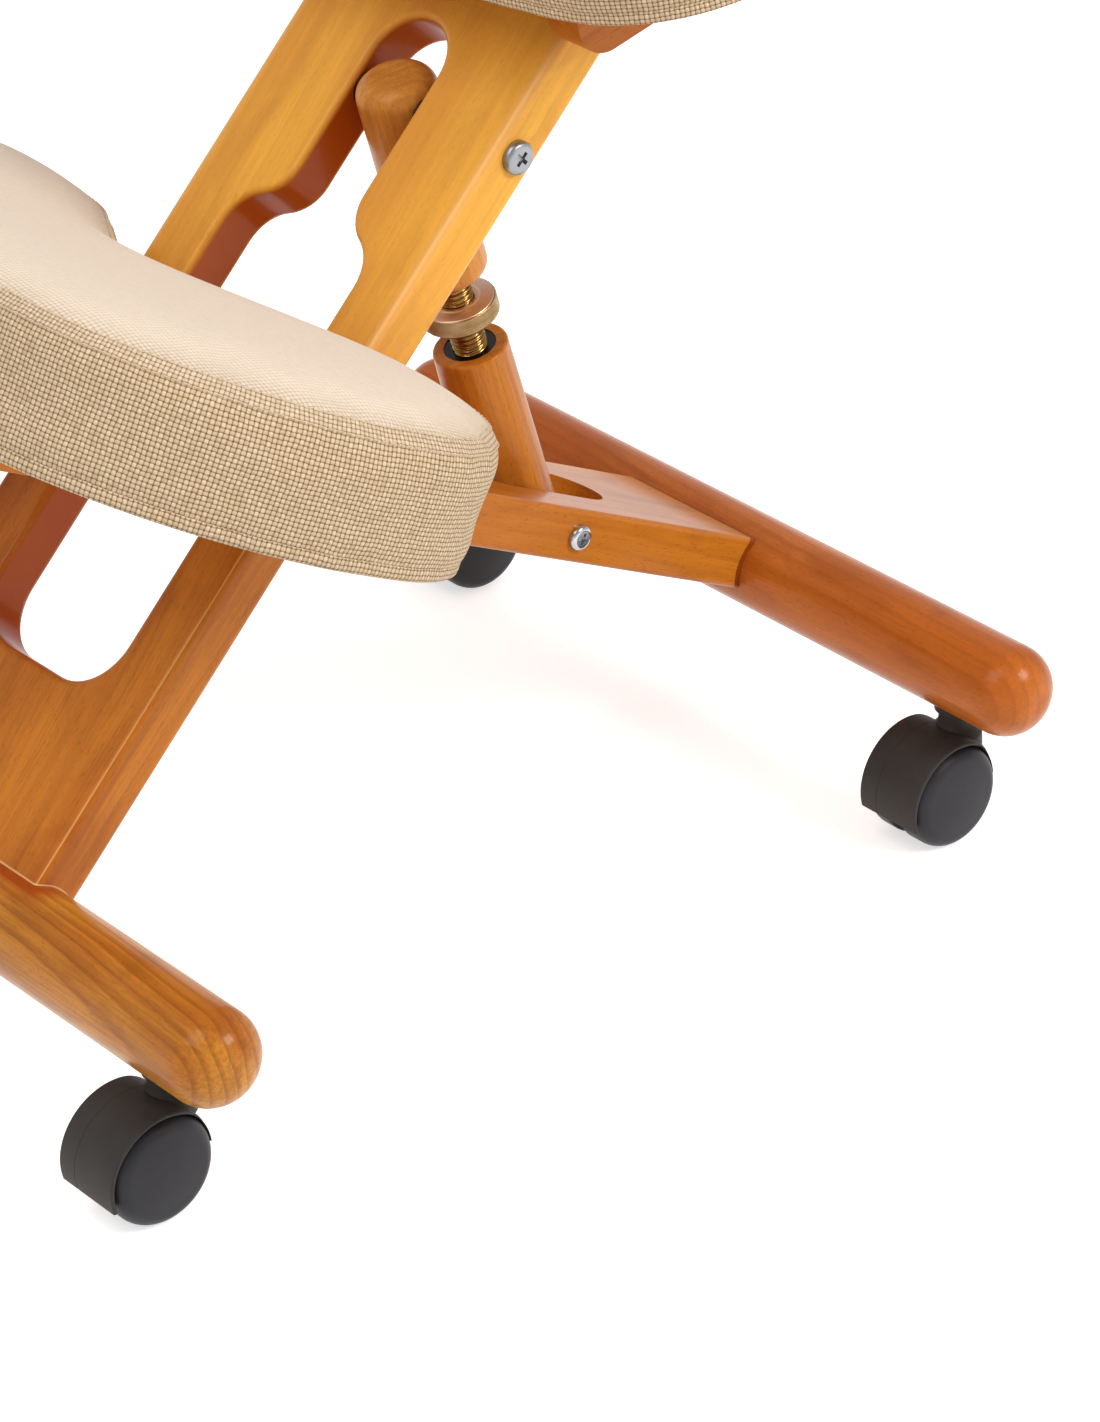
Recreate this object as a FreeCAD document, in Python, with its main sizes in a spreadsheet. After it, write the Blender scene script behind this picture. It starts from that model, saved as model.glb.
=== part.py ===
import FreeCAD, Part
import math
import os
import re

import Sketcher
from FreeCAD import Placement, Rotation, Vector

# Kneeling stool: a slanting main board carries the seat, a leg board crosses it
# and carries the knee pad, and a screw between two wooden posts sets the angle.
# X runs across, Y to the back, Z up. The origin is on the floor in the middle.

os.makedirs("parts", exist_ok=True)
doc = FreeCAD.newDocument("kneeling_stool")
sizes = doc.addObject("Spreadsheet::Sheet", "Sizes")

# Driving dimensions: name, value in millimetres or degrees, what it is
DRIVING = [
    ("overrun", 5, "how far a cutting tool runs past the wood"),
    ("seat_gap", 0.05, "gap between two fixed pieces that seat on each other"),
    ("run_gap", 0.05, "radial gap of a pin that turns in its hole"),
    ("rest_gap", 0.3, "gap between a moving piece and the face it runs on"),
    # Base bars
    ("bar_length", 432, "base bar, end to end"),
    ("bar_diameter", 43, "base bar"),
    ("bar_end_round", 19, "rounding of the bar's ends"),
    ("bar_spacing", 449, "front bar's axis to rear bar's axis"),
    ("front_bar_reach", 249.9, "origin to the front bar's axis"),
    # Casters
    ("caster_height", 61, "floor to the underside of a bar"),
    ("caster_inset", 50, "bar's end to the caster's stem"),
    ("caster_trail", 14.5, "stem's axis to the wheels' axle"),
    ("wheel_diameter", 50, "caster wheel"),
    ("wheel_width", 14, "tread of one caster wheel"),
    ("wheel_dome", 2.5, "how far the wheel's outer face bulges"),
    ("wheel_round", 4, "rounding of the tread's outer edge"),
    ("web_width", 7, "middle web of the caster's hood"),
    ("hood_gap", 1, "gap from tread to hood"),
    ("hood_wall", 2, "wall of the caster's hood"),
    ("hood_low_angle", 17, "how far the hood's back edge drops below the axle"),
    ("hood_front_angle", 6, "how far the hood's front edge stays above the axle"),
    ("axle_diameter", 6, "caster axle"),
    ("stem_diameter", 10, "caster stem"),
    ("stem_depth", 28, "how far the stem goes up into the bar"),
    ("stem_seat", 7, "how far the stem goes down into the neck"),
    ("axle_boss", 17, "boss round the axle in the hood's web"),
    ("wheel_cap", 2, "wall that closes the wheel's bore"),
    ("neck_diameter", 19, "round neck on top of the hood"),
    ("socket_wall", 2, "wall of the stem's socket"),
    ("socket_flange", 3, "how far the socket's flange stands out"),
    ("flange_sink", 2.2, "how deep the flange is let into the bar"),
    ("flange_proud", 1, "how far the flange stands below the bar"),
    # Main board
    ("board_slope", 45.5, "main board's slope from the floor"),
    ("board_width", 152, "main board"),
    ("board_thick", 24, "main board"),
    ("board_length", 530, "front bar's axis to the board's top end"),
    ("board_foot", 6, "front bar's axis to the board's bottom end"),
    ("board_arris", 3.5, "rounding of the board's edges"),
    ("slot_width", 90, "wide slot for the leg board"),
    ("slot_start", 97, "front bar's axis to the bottom of the slot"),
    ("slot_corner", 26, "rounding of the slot's bottom corners"),
    ("slot_swing_start", 300, "where the slot's sides start to draw in"),
    ("slot_swing_end", 337, "where the sides have drawn in"),
    ("neck_slot_width", 42, "narrow slot for the upper post"),
    ("neck_slot_end", 417, "front bar's axis to the top of the narrow slot"),
    ("post_bolt_reach", 381, "front bar's axis to the upper post's bolt"),
    # Leg board
    ("leg_slope", 26, "leg board's slope from the floor"),
    ("leg_width", 87, "leg board"),
    ("leg_thick", 25, "leg board"),
    ("leg_ahead", 167.3, "main pivot to the leg board's front end"),
    ("leg_foot", 6, "rear bar's axis to the leg board's rear end"),
    ("leg_arris", 2.5, "rounding of the leg board's edges"),
    ("leg_tip_round", 20, "rounding of the leg board's front corners"),
    ("post_pivot_reach", 134, "rear bar's axis to the lower post's pivot"),
    ("post_hole_width", 38.6, "oval hole for the lower post"),
    ("post_hole_length", 90, "oval hole for the lower post"),
    # Posts and screw
    ("post_top_diameter", 34.5, "lower post at its top"),
    ("upper_post_diameter", 36.4, "upper post"),
    ("post_foot_diameter", 37, "lower post at its pivot"),
    ("post_foot_below", 17, "lower post's end beyond its pivot"),
    ("post_foot_round", 14, "rounding of the lower post's foot"),
    ("post_rim_round", 1.5, "rounding of the lower post's rim"),
    ("lower_post_top", 91.5, "lower pivot to the top of the lower post"),
    ("lower_bore_floor", 25, "lower pivot to the bottom of its bore"),
    ("upper_post_start", 130.4, "lower pivot to the bottom of the upper post"),
    ("upper_post_head", 15, "upper post beyond its bolt"),
    ("upper_post_round", 9, "rounding of the upper post's ends"),
    ("upper_bore_length", 70, "bore of the upper post"),
    ("rod_diameter", 16, "threaded rod"),
    ("rod_start", 38, "lower pivot to the rod's bottom end"),
    ("rod_length", 148, "threaded rod"),
    ("rod_chamfer", 1.5, "chamfer of the rod's ends"),
    ("bush_diameter", 24, "black bush in the lower post"),
    ("bush_length", 30, "black bush"),
    ("bush_sink", 0.6, "bush's top face below the post's rim"),
    ("insert_diameter", 22, "threaded insert in the upper post"),
    ("insert_length", 28, "threaded insert"),
    ("wheel_start", 107, "lower pivot to the underside of the adjuster wheel"),
    ("grip_diameter", 35.5, "adjuster wheel's knurled rim"),
    ("grip_height", 9.4, "knurled rim"),
    ("grip_chamfer", 1.2, "chamfer of the rim"),
    ("hub_diameter", 20, "adjuster wheel's hub"),
    ("hub_height", 1.2, "shallow cone from the rim up to the hub"),
    # Pins, bolts and screws
    ("sleeve_wall", 2, "wall of the steel sleeves"),
    ("pivot_diameter", 10, "main pivot bolt"),
    ("pivot_head_diameter", 20, "main pivot bolt's head and nut"),
    ("pivot_head_height", 4, "main pivot bolt's head and nut"),
    ("washer_diameter", 26, "pivot washers"),
    ("bolt_diameter", 8, "upper post's bolt and the bearer bolts"),
    ("bolt_head_diameter", 15, "heads and nuts of those bolts"),
    ("bolt_head_height", 4, "heads and nuts of those bolts"),
    ("bolt_play", 0.6, "radial play of the upper post on its bolt"),
    ("spacer_diameter", 18, "spacers beside the upper post"),
    ("screw_diameter", 6, "lower post's pivot screws"),
    ("screw_head_diameter", 12, "lower post's pivot screws"),
    ("screw_head_height", 3.5, "lower post's pivot screws"),
    ("screw_bite", 9, "how far a pivot screw reaches into the post's sleeve"),
    ("bar_bolt_diameter", 6, "bolts that hold a bar to its board"),
    ("bar_bolt_head", 11, "head of those bolts"),
    ("bar_bolt_head_height", 5, "head of those bolts"),
    ("bar_bolt_sink", 8, "bar's axis to the underside of the bolt's head"),
    ("bar_bolt_reach", 64, "bar's axis to the barrel nut"),
    ("board_bolt_pitch", 96, "two bolts at the front bar, apart"),
    ("leg_bolt_pitch", 50, "two bolts at the rear bar, apart"),
    ("barrel_diameter", 12, "barrel nut"),
    ("barrel_length", 16, "barrel nut"),
    ("wood_screw_diameter", 5, "screws through the base boards"),
    ("wood_screw_head", 9, "countersunk head"),
    ("wood_screw_length", 30, "screws through the base boards"),
    ("pivot_head_round", 2.5, "rounding of the main pivot's head and nut"),
    ("bolt_head_round", 2.5, "rounding of the bolt heads"),
    ("screw_head_round", 2.2, "rounding of the screw heads"),
    ("recess_share", 0.46, "cross recess's length, of the head's diameter"),
    ("recess_width_share", 0.12, "cross recess's width, of the head's diameter"),
    ("nut_bite", 2.6, "how far a bolt's end goes into its cap nut"),
    ("sleeve_short", 0.5, "a sleeve's end inside the post's side"),
    ("bore_ease", 0.6, "extra radius of a post's bore beyond its bush"),
    ("upper_post_foot_round", 6, "rounding of the upper post's lower end"),
    # Seat
    ("seat_tilt", 14, "seat's forward tilt"),
    ("seat_width", 430, "seat cushion at the back"),
    ("seat_front_width", 366, "seat cushion at the front"),
    ("seat_depth", 318, "seat cushion, front to back"),
    ("seat_setback", 22, "board's top end to the seat's middle"),
    ("seat_thick", 72, "seat cushion with its base board"),
    ("seat_back_corner", 95, "rounding of the seat's back corners"),
    ("seat_front_corner", 80, "rounding of the seat's front corners"),
    ("seat_edge_round", 620, "gentle curve of the seat's front and back edges"),
    ("bearer_length", 236, "wooden bearer under the seat"),
    ("bearer_height", 44, "bearer"),
    ("bearer_width", 20, "bearer"),
    ("bearer_round", 16, "rounding of the bearer's lower corners"),
    ("bearer_bolt_first", 28, "board's top end to the first bearer bolt"),
    ("bearer_bolt_second", 62, "board's top end to the second bearer bolt"),
    ("bearer_bolt_bite", 34, "how far a bearer bolt reaches into the board"),
    ("seat_screw_pitch", 180, "seat screws in one bearer, apart"),
    # Knee pad
    ("pad_thick", 71, "knee pad with its base board"),
    ("pad_ahead", 43, "main pivot to the pad's back notch"),
    ("pad_half_width", 218, "middle of the pad to its end"),
    ("pad_depth", 178, "back notch to the front edge"),
    ("lobe_back", 57, "how far the lobes reach behind the notch"),
    ("lobe_round", 88, "rounding of the pad's back lobes"),
    ("pad_front_corner", 130, "rounding of the pad's front corners"),
    ("notch_round", 60, "rounding of the notch"),
    ("pad_front_round", 900, "gentle curve of the pad's front edge"),
    ("pad_screw_first", 40, "notch to the first pair of screws"),
    ("pad_screw_second", 85, "notch to the second pair of screws"),
    ("pad_screw_pitch", 50, "screws of a pair, apart"),
    # Cushions and their base boards
    ("base_board_thick", 12, "plywood under each cushion"),
    ("base_board_inset", 8, "plywood's edge inside the cushion's side"),
    ("hem_gap", 0.5, "cushion's hem above the plywood's underside"),
    ("edge_roll", 17, "rounding where a cushion's side turns into its top"),
    ("crown", 4, "how far a cushion's top swells"),
    ("tuck", 4, "how far the bottom of a cushion's side is drawn in"),
]
NAMES = set()
for row, (alias, value, meaning) in enumerate(DRIVING, 1):
    sizes.set(f"A{row}", meaning)
    sizes.set(f"B{row}", str(value))
    sizes.setAlias(f"B{row}", alias)
    NAMES.add(alias)
doc.recompute()

ACROSS = Rotation(Vector(0, 1, 0), 90)
BACKWARDS = Rotation(Vector(0, 1, 0), -90)
DOWN = Rotation(Vector(1, 0, 0), 180)
HERE = Placement()
TINY = 1e-4
SUBPARTS = []
gauge = doc.addObject("App::FeaturePython", "Gauge")
gauge.addProperty("App::PropertyFloat", "reading")


def size(alias):
    """One driving dimension as a number."""
    return float(sizes.get(alias))


def words(text):
    """An expression in which every size's name points at the sheet."""
    return re.sub(r"[a-z]\w+", lambda found: "Sizes." + found[0] if found[0] in NAMES else found[0], text)


def worth(text):
    """What an expression of size names comes to."""
    gauge.setExpression("reading", words(text))
    gauge.recompute()
    return gauge.reading


def at(x=0.0, y=0.0, z=0.0, turn=None):
    """A placement in a sub-part's own frame."""
    return Placement(Vector(x, y, z), turn or Rotation())


def seen_from(frame, other, place):
    """A place in one frame, given in another."""
    return frame.inverse().multiply(other).multiply(place)


def finish(made, label, frame=HERE):
    """Give a finished sub-part its label and put it in its place on the stool."""
    made.Label = label
    made.Placement = frame.multiply(made.Placement)
    SUBPARTS.append(made)
    return made


# Primitives whose sizes are bound to the sheet

def rod(name, diameter, length, place=HERE):
    made = doc.addObject("Part::Cylinder", name)
    made.setExpression("Radius", words(f"({diameter}) / 2"))
    made.setExpression("Height", words(length))
    made.Placement = place
    return made


def cone(name, low, high, length, place=HERE):
    made = doc.addObject("Part::Cone", name)
    made.setExpression("Radius1", words(f"({low}) / 2"))
    made.setExpression("Radius2", words(f"({high}) / 2"))
    made.setExpression("Height", words(length))
    made.Placement = place
    return made


def box(name, long_x, long_y, long_z, place=HERE):
    made = doc.addObject("Part::Box", name)
    made.setExpression("Length", words(long_x))
    made.setExpression("Width", words(long_y))
    made.setExpression("Height", words(long_z))
    made.Placement = place
    return made


def drawn(name, shape):
    """A piece whose outline is drawn in code from the sheet's sizes."""
    made = doc.addObject("Part::Feature", name)
    made.Shape = shape
    return made


def fused(name, pieces):
    made = doc.addObject("Part::MultiFuse", name)
    made.Shapes = pieces
    return made


def group(name, pieces):
    """Several like solids in one sub-part."""
    made = doc.addObject("Part::Compound", name)
    made.Links = pieces
    return made


def cut(name, base, tools):
    made = doc.addObject("Part::Cut", name)
    made.Base = base
    made.Tool = tools[0] if len(tools) == 1 else fused(name + "_tools", tools)
    return made


def rounded(name, base, radius, wanted):
    """The base with the edges that the test accepts rounded."""
    doc.recompute()
    made = doc.addObject("Part::Fillet", name)
    made.Base = base
    amount = size(radius)
    made.Edges = [(i, amount, amount) for i, edge in enumerate(base.Shape.Edges, 1) if wanted(edge)]
    return made


def tube(name, outer, inner, length, place=HERE):
    """A round sleeve, its axis along the frame's Z before it is placed."""
    made = cut(name, rod(name + "_wall", outer, length),
               [rod(name + "_hole", inner, f"{length} + 2 * overrun", at(z=-size("overrun")))])
    made.Placement = place
    return made


def is_circle_at(height, radius):
    """A test for the round edge at one height of a turned piece."""
    def wanted(edge):
        curve = edge.Curve
        return (isinstance(curve, Part.Circle) and abs(curve.Center.z - height) < TINY
                and abs(curve.Radius - radius) < TINY)
    return wanted


# Turned and padded bodies

def sketch_on(owner, role, name, points):
    """A closed outline of straight edges, each corner bound to the sheet."""
    plane = next(found for found in owner.Origin.OriginFeatures if found.Role == role)
    sketch = owner.newObject("Sketcher::SketchObject", name)
    sketch.AttachmentSupport = [(plane, "")]
    sketch.MapMode = "FlatFace"
    corners = [Vector(worth(across), worth(up), 0) for across, up in points]
    for i, corner in enumerate(corners):
        sketch.addGeometry(Part.LineSegment(corner, corners[(i + 1) % len(corners)]), False)
    for i in range(len(corners)):
        sketch.addConstraint(Sketcher.Constraint("Coincident", i, 2, (i + 1) % len(corners), 1))
    for i, (across, up) in enumerate(points):
        for kind, axis, text in (("DistanceX", -2, across), ("DistanceY", -1, up)):
            if text == "0":
                sketch.addConstraint(Sketcher.Constraint("PointOnObject", i, 1, axis))
            else:
                place = sketch.addConstraint(Sketcher.Constraint(kind, -1, 1, i, 1, worth(text)))
                sketch.setExpression(f"Constraints[{place}]", words(text))
    return sketch


def turned(name, points):
    """A body turned about its Z axis from an outline of radius and height."""
    owner = doc.addObject("PartDesign::Body", name)
    sketch = sketch_on(owner, "XZ_Plane", name + "_outline", points)
    made = owner.newObject("PartDesign::Revolution", name + "_turned")
    made.Profile = sketch
    made.ReferenceAxis = (sketch, ["V_Axis"])
    made.Angle = 360
    owner.Tip = made
    doc.recompute()
    return owner


def dress(owner, kind, name, amount, wanted):
    """A fillet or chamfer on the body's edges that the test accepts."""
    doc.recompute()
    last = owner.Tip
    chosen = [f"Edge{i}" for i, edge in enumerate(last.Shape.Edges, 1) if wanted(edge)]
    made = owner.newObject("PartDesign::" + kind, name)
    made.Base = (last, chosen)
    made.setExpression("Radius" if kind == "Fillet" else "Size", words(amount))
    owner.Tip = made
    doc.recompute()
    return owner


# Rounded outlines: circles joined by their tangents, in anticlockwise order.
# A hollow stretch has a negative radius, and an inset shrinks every circle alike.

def tangent_normal(here, there):
    """Outward normal of the line that touches both circles."""
    apart = Vector(there[0] - here[0], there[1] - here[1], 0)
    share = (here[2] - there[2]) / apart.Length
    apart.normalize()
    if abs(share) > 1 - TINY:
        return apart * math.copysign(1, share)
    return Rotation(Vector(0, 0, 1), -math.degrees(math.acos(share))).multVec(apart)


def outline(circles, inset, height):
    """The closed wire round the circles, drawn in by an inset, at one height."""
    count = len(circles)
    normals = [tangent_normal(circles[i], circles[(i + 1) % count]) for i in range(count)]
    edges = []
    for i, (x, y, radius) in enumerate(circles):
        middle = Vector(x, y, height)
        reach = radius - inset
        first = normals[i - 1]
        last = normals[i]
        edges.append(Part.Arc(middle + first * reach, middle + (first + last).normalize() * reach,
                              middle + last * reach).toShape())
        next_x, next_y, next_radius = circles[(i + 1) % count]
        onward = Vector(next_x, next_y, height) + last * (next_radius - inset)
        if (onward - (middle + last * reach)).Length > TINY:
            edges.append(Part.makeLine(middle + last * reach, onward))
    return Part.Wire(edges)


def slab(circles, inset, low, thick):
    """A flat board of a rounded outline."""
    return Part.Face(outline(circles, inset, low)).extrude(Vector(0, 0, thick))


SIDE_STEP_SHARES = (0.0, 0.3, 0.65, 1.0)
ROLL_STEP_SHARES = (0.22, 0.45, 0.7, 1.0)
CROWN_STEP_SHARES = ((1.0, 0.55), (2.2, 1.0))


def cushion_solid(circles, thick):
    """Drawn-in sides, a rolled edge and a crowned top, as one ruled loft."""
    roll = size("edge_roll")
    arris = thick - size("crown")
    hem = size("hem_gap")
    wall = arris - roll - hem
    levels = [(hem + wall * share, size("tuck") * (1 - share) ** 2) for share in SIDE_STEP_SHARES]
    for share in ROLL_STEP_SHARES:
        lean = math.radians(90 * share)
        levels.append((arris - roll + roll * math.sin(lean), roll * (1 - math.cos(lean))))
    for inset_share, rise_share in CROWN_STEP_SHARES:
        levels.append((arris + size("crown") * rise_share, roll * (1 + inset_share)))
    return Part.makeLoft([outline(circles, inset, height) for height, inset in levels], True, True)


# Frames of the main pieces

bar_middle = size("caster_height") + size("bar_diameter") / 2
FRONT = at(y=-size("front_bar_reach"), z=bar_middle)
REAR = at(y=size("bar_spacing") - size("front_bar_reach"), z=bar_middle)
BOARD = FRONT.multiply(at(turn=Rotation(Vector(1, 0, 0), size("board_slope"))))
LEG = REAR.multiply(at(turn=Rotation(Vector(1, 0, 0), -size("leg_slope"))))
base_share = size("bar_spacing") / math.sin(math.radians(size("board_slope") + size("leg_slope")))
pivot_on_board = base_share * math.sin(math.radians(size("leg_slope")))
pivot_on_leg = -base_share * math.sin(math.radians(size("board_slope")))
lower_pivot = LEG.multVec(Vector(0, -size("post_pivot_reach"), 0))
upper_pivot = BOARD.multVec(Vector(0, size("post_bolt_reach"), 0))
post_span = (upper_pivot - lower_pivot).Length
POST = Placement(lower_pivot, Rotation(Vector(0, 0, 1), upper_pivot - lower_pivot))
SEAT = Placement(BOARD.multVec(Vector(0, size("board_length"), 0)),
                 Rotation(Vector(1, 0, 0), size("seat_tilt")))
SEAT_MIDDLE = SEAT.multiply(at(y=size("seat_setback")))
pad_seat = size("leg_thick") / 2
pad_notch = pivot_on_leg - size("pad_ahead")
PAD = LEG.multiply(at(y=pad_notch, z=pad_seat))


# Base bars with their bolts and caster sockets

def bar_bolt_places(frame, pitch, way):
    """Where the two bolts start, under their heads, in a board's frame."""
    turn = Rotation(Vector(1, 0, 0), -90 * way)
    return [at(side * size(pitch) / 2, -way * size("bar_bolt_sink"), turn=turn)
            for side in (-1, 1)]


def base_bar(which, frame, board, pitch, way):
    """A round bar with bores for its caster sockets and its two bolts."""
    radius = size("bar_diameter") / 2
    blank = rod(which + "_bar_blank", "bar_diameter", "bar_length", at(-size("bar_length") / 2, turn=ACROSS))
    blank = rounded(which + "_bar_round", blank, "bar_end_round",
                    lambda edge: isinstance(edge.Curve, Part.Circle))
    tools = []
    for i, side in enumerate((-1, 1)):
        x = side * (size("bar_length") / 2 - size("caster_inset"))
        tools.append(rod(f"{which}_socket_bore{i}", SOCKET_OUTER + " + 2 * seat_gap",
                         "stem_depth + rest_gap + seat_gap + overrun", at(x, z=-radius - size("overrun"))))
        tools.append(rod(f"{which}_flange_bore{i}", FLANGE_OUTER + " + 2 * seat_gap",
                         "flange_sink + overrun", at(x, z=-radius - size("overrun"))))
    for i, place in enumerate(bar_bolt_places(board, pitch, way)):
        place = seen_from(frame, board, place)
        tools.append(rod(f"{which}_bolt_bore{i}", "bar_bolt_diameter + 2 * seat_gap", "bar_diameter", place))
        tools.append(rod(f"{which}_head_bore{i}", "bar_bolt_head + 2 * seat_gap", "bar_diameter",
                         place.multiply(at(turn=DOWN))))
    finish(cut(which + "_bar_cut", blank, tools), which + "_base_bar", frame)


SOCKET_OUTER = "(stem_diameter + 2 * run_gap + 2 * socket_wall)"
FLANGE_OUTER = "(stem_diameter + 2 * run_gap + 2 * socket_wall + 2 * socket_flange)"


def caster_sockets(which, frame):
    """Two flanged steel sleeves pressed up into a bar."""
    radius = size("bar_diameter") / 2
    made = []
    for i, side in enumerate((-1, 1)):
        x = side * (size("bar_length") / 2 - size("caster_inset"))
        low = -radius - size("flange_proud")
        sleeve = rod(f"{which}_sleeve{i}", SOCKET_OUTER, "stem_depth + rest_gap + flange_proud", at(x, z=low))
        flange = rod(f"{which}_flange{i}", FLANGE_OUTER, "flange_proud + flange_sink", at(x, z=low))
        hole = rod(f"{which}_stem_hole{i}", "stem_diameter + 2 * run_gap", "stem_depth + 2 * overrun",
                   at(x, z=low - size("overrun")))
        made.append(cut(f"{which}_socket{i}", fused(f"{which}_socket_blank{i}", [sleeve, flange]), [hole]))
    finish(group(which + "_sockets", made), which + "_caster_sockets", frame)


def bar_bolts(which, board, pitch, way):
    """Two bolts that draw a bar against the end of its board, and their barrel nuts."""
    bolts = []
    barrels = []
    for i, place in enumerate(bar_bolt_places(board, pitch, way)):
        shank = rod(f"{which}_bolt_shank{i}", "bar_bolt_diameter", "bar_bolt_sink + bar_bolt_reach", place)
        head = rod(f"{which}_bolt_head{i}", "bar_bolt_head", "bar_bolt_head_height",
                   place.multiply(at(turn=DOWN)))
        bolts.append(fused(f"{which}_bolt{i}", [shank, head]))
        spot = Vector(place.Base.x, way * size("bar_bolt_reach"), 0)
        blank = rod(f"{which}_barrel_blank{i}", "barrel_diameter", "barrel_length",
                    at(spot.x, spot.y, spot.z - size("barrel_length") / 2))
        hole = rod(f"{which}_barrel_hole{i}", "bar_bolt_diameter + 2 * seat_gap", "2 * barrel_diameter",
                   at(spot.x, spot.y - way * size("barrel_diameter"), spot.z, place.Rotation))
        barrels.append(cut(f"{which}_barrel{i}", blank, [hole]))
    finish(group(which + "_bolts", bolts), which + "_bar_bolts", board)
    finish(group(which + "_barrels", barrels), which + "_barrel_nuts", board)


def bar_joint_tools(which, board, pitch, way):
    """The cope, bolt holes and barrel nut holes in the end of a board."""
    tools = [rod(which + "_cope", "bar_diameter + 2 * seat_gap", "bar_length",
                 at(-size("bar_length") / 2, turn=ACROSS))]
    for i, place in enumerate(bar_bolt_places(board, pitch, way)):
        tools.append(rod(f"{which}_board_bolt_hole{i}", "bar_bolt_diameter + 2 * seat_gap",
                         "bar_bolt_sink + bar_bolt_reach + seat_gap", place))
        tools.append(rod(f"{which}_board_barrel_hole{i}", "barrel_diameter + 2 * seat_gap",
                         "2 * barrel_length",
                         at(place.Base.x, way * size("bar_bolt_reach"), -size("barrel_length") * 3 / 2)))
    return tools


base_bar("front", FRONT, BOARD, "board_bolt_pitch", 1)
base_bar("rear", REAR, LEG, "leg_bolt_pitch", -1)
caster_sockets("front", FRONT)
caster_sockets("rear", REAR)
bar_bolts("front", BOARD, "board_bolt_pitch", 1)
bar_bolts("rear", LEG, "leg_bolt_pitch", -1)


# Main board: one wide slanting board with a slot that draws in towards the top

def quarter(centre, start, end):
    """A quarter circle round a centre."""
    reach = (start - centre).Length
    return Part.Arc(start, centre + (start + end - centre * 2).normalize() * reach, end).toShape()


def swing(start, end):
    """An S-shaped stretch of two equal arcs that leaves and arrives along Y."""
    across = end.x - start.x
    along = end.y - start.y
    radius = (across ** 2 + along ** 2) / (4 * abs(across))
    lean = math.asin(along / 2 / radius)
    dip = Vector(math.copysign(radius * (1 - math.cos(lean / 2)), across), radius * math.sin(lean / 2), 0)
    middle = (start + end) * 0.5
    return [Part.Arc(start, start + dip, middle).toShape(), Part.Arc(middle, end - dip, end).toShape()]


def slot_outline():
    """The leg's wide slot, the drawn-in stretch and the upper post's narrow slot."""
    wide = size("slot_width") / 2
    narrow = size("neck_slot_width") / 2
    corner = size("slot_corner")
    low = size("slot_start")
    turn = size("neck_slot_end") - narrow
    swing_start = Vector(wide, size("slot_swing_start"), 0)
    swing_end = Vector(narrow, size("slot_swing_end"), 0)
    half = [Part.makeLine(Vector(0, low, 0), Vector(wide - corner, low, 0)),
            quarter(Vector(wide - corner, low + corner, 0), Vector(wide - corner, low, 0),
                    Vector(wide, low + corner, 0)),
            Part.makeLine(Vector(wide, low + corner, 0), swing_start)]
    half += swing(swing_start, swing_end)
    half.append(Part.makeLine(swing_end, Vector(narrow, turn, 0)))
    half.append(quarter(Vector(0, turn, 0), Vector(narrow, turn, 0), Vector(0, turn + narrow, 0)))
    return Part.Wire(Part.sortEdges(half + [edge.mirror(Vector(), Vector(1, 0, 0)) for edge in half])[0])


def board_blank():
    """The board with its slot, its long edges and the slot's edges rounded."""
    half = size("board_width") / 2
    end = size("board_length") + size("board_thick")
    foot = size("board_foot")
    outer = Part.makePolygon([Vector(-half, foot, 0), Vector(half, foot, 0), Vector(half, end, 0),
                              Vector(-half, end, 0), Vector(-half, foot, 0)])
    face = Part.makeFace([outer, slot_outline()], "Part::FaceMakerBullseye")
    shape = face.extrude(Vector(0, 0, size("board_thick")))
    shape.translate(Vector(0, 0, -size("board_thick") / 2))

    def is_arris(edge):
        spot = edge.CenterOfMass
        on_face = abs(abs(spot.z) - size("board_thick") / 2) < TINY
        return on_face and abs(spot.y - foot) > TINY and abs(spot.y - end) > TINY
    return shape.makeFillet(size("board_arris"), [edge for edge in shape.Edges if is_arris(edge)])


tools = bar_joint_tools("front", BOARD, "board_bolt_pitch", 1)
tools.append(rod("pivot_board_hole", "pivot_diameter + 2 * seat_gap", "board_width + 2 * overrun",
                 at(-size("board_width") / 2 - size("overrun"), pivot_on_board, 0, ACROSS)))
tools.append(rod("post_bolt_hole", "bolt_diameter + 2 * seat_gap", "board_width + 2 * overrun",
                 at(-size("board_width") / 2 - size("overrun"), size("post_bolt_reach"), 0, ACROSS)))
BEARER_BOLTS = [(side, size("board_length") - size(which))
                for side in (-1, 1) for which in ("bearer_bolt_first", "bearer_bolt_second")]
for i, (side, reach) in enumerate(BEARER_BOLTS):
    x = side * (size("board_width") / 2 - size("bearer_bolt_bite") - size("seat_gap"))
    tools.append(rod(f"bearer_board_hole{i}", "bolt_diameter + 2 * seat_gap", "bearer_bolt_bite + overrun",
                     at(x, reach, 0, ACROSS if side > 0 else BACKWARDS)))
top_cut = seen_from(BOARD, SEAT, at(-size("board_width"), -size("board_width")))
tools.append(box("board_top_cut", "2 * board_width", "2 * board_width", "board_width", top_cut))
finish(cut("main_board_cut", drawn("main_board_blank", board_blank()), tools), "main_board", BOARD)


# Leg board with the oval hole for the lower post

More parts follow.
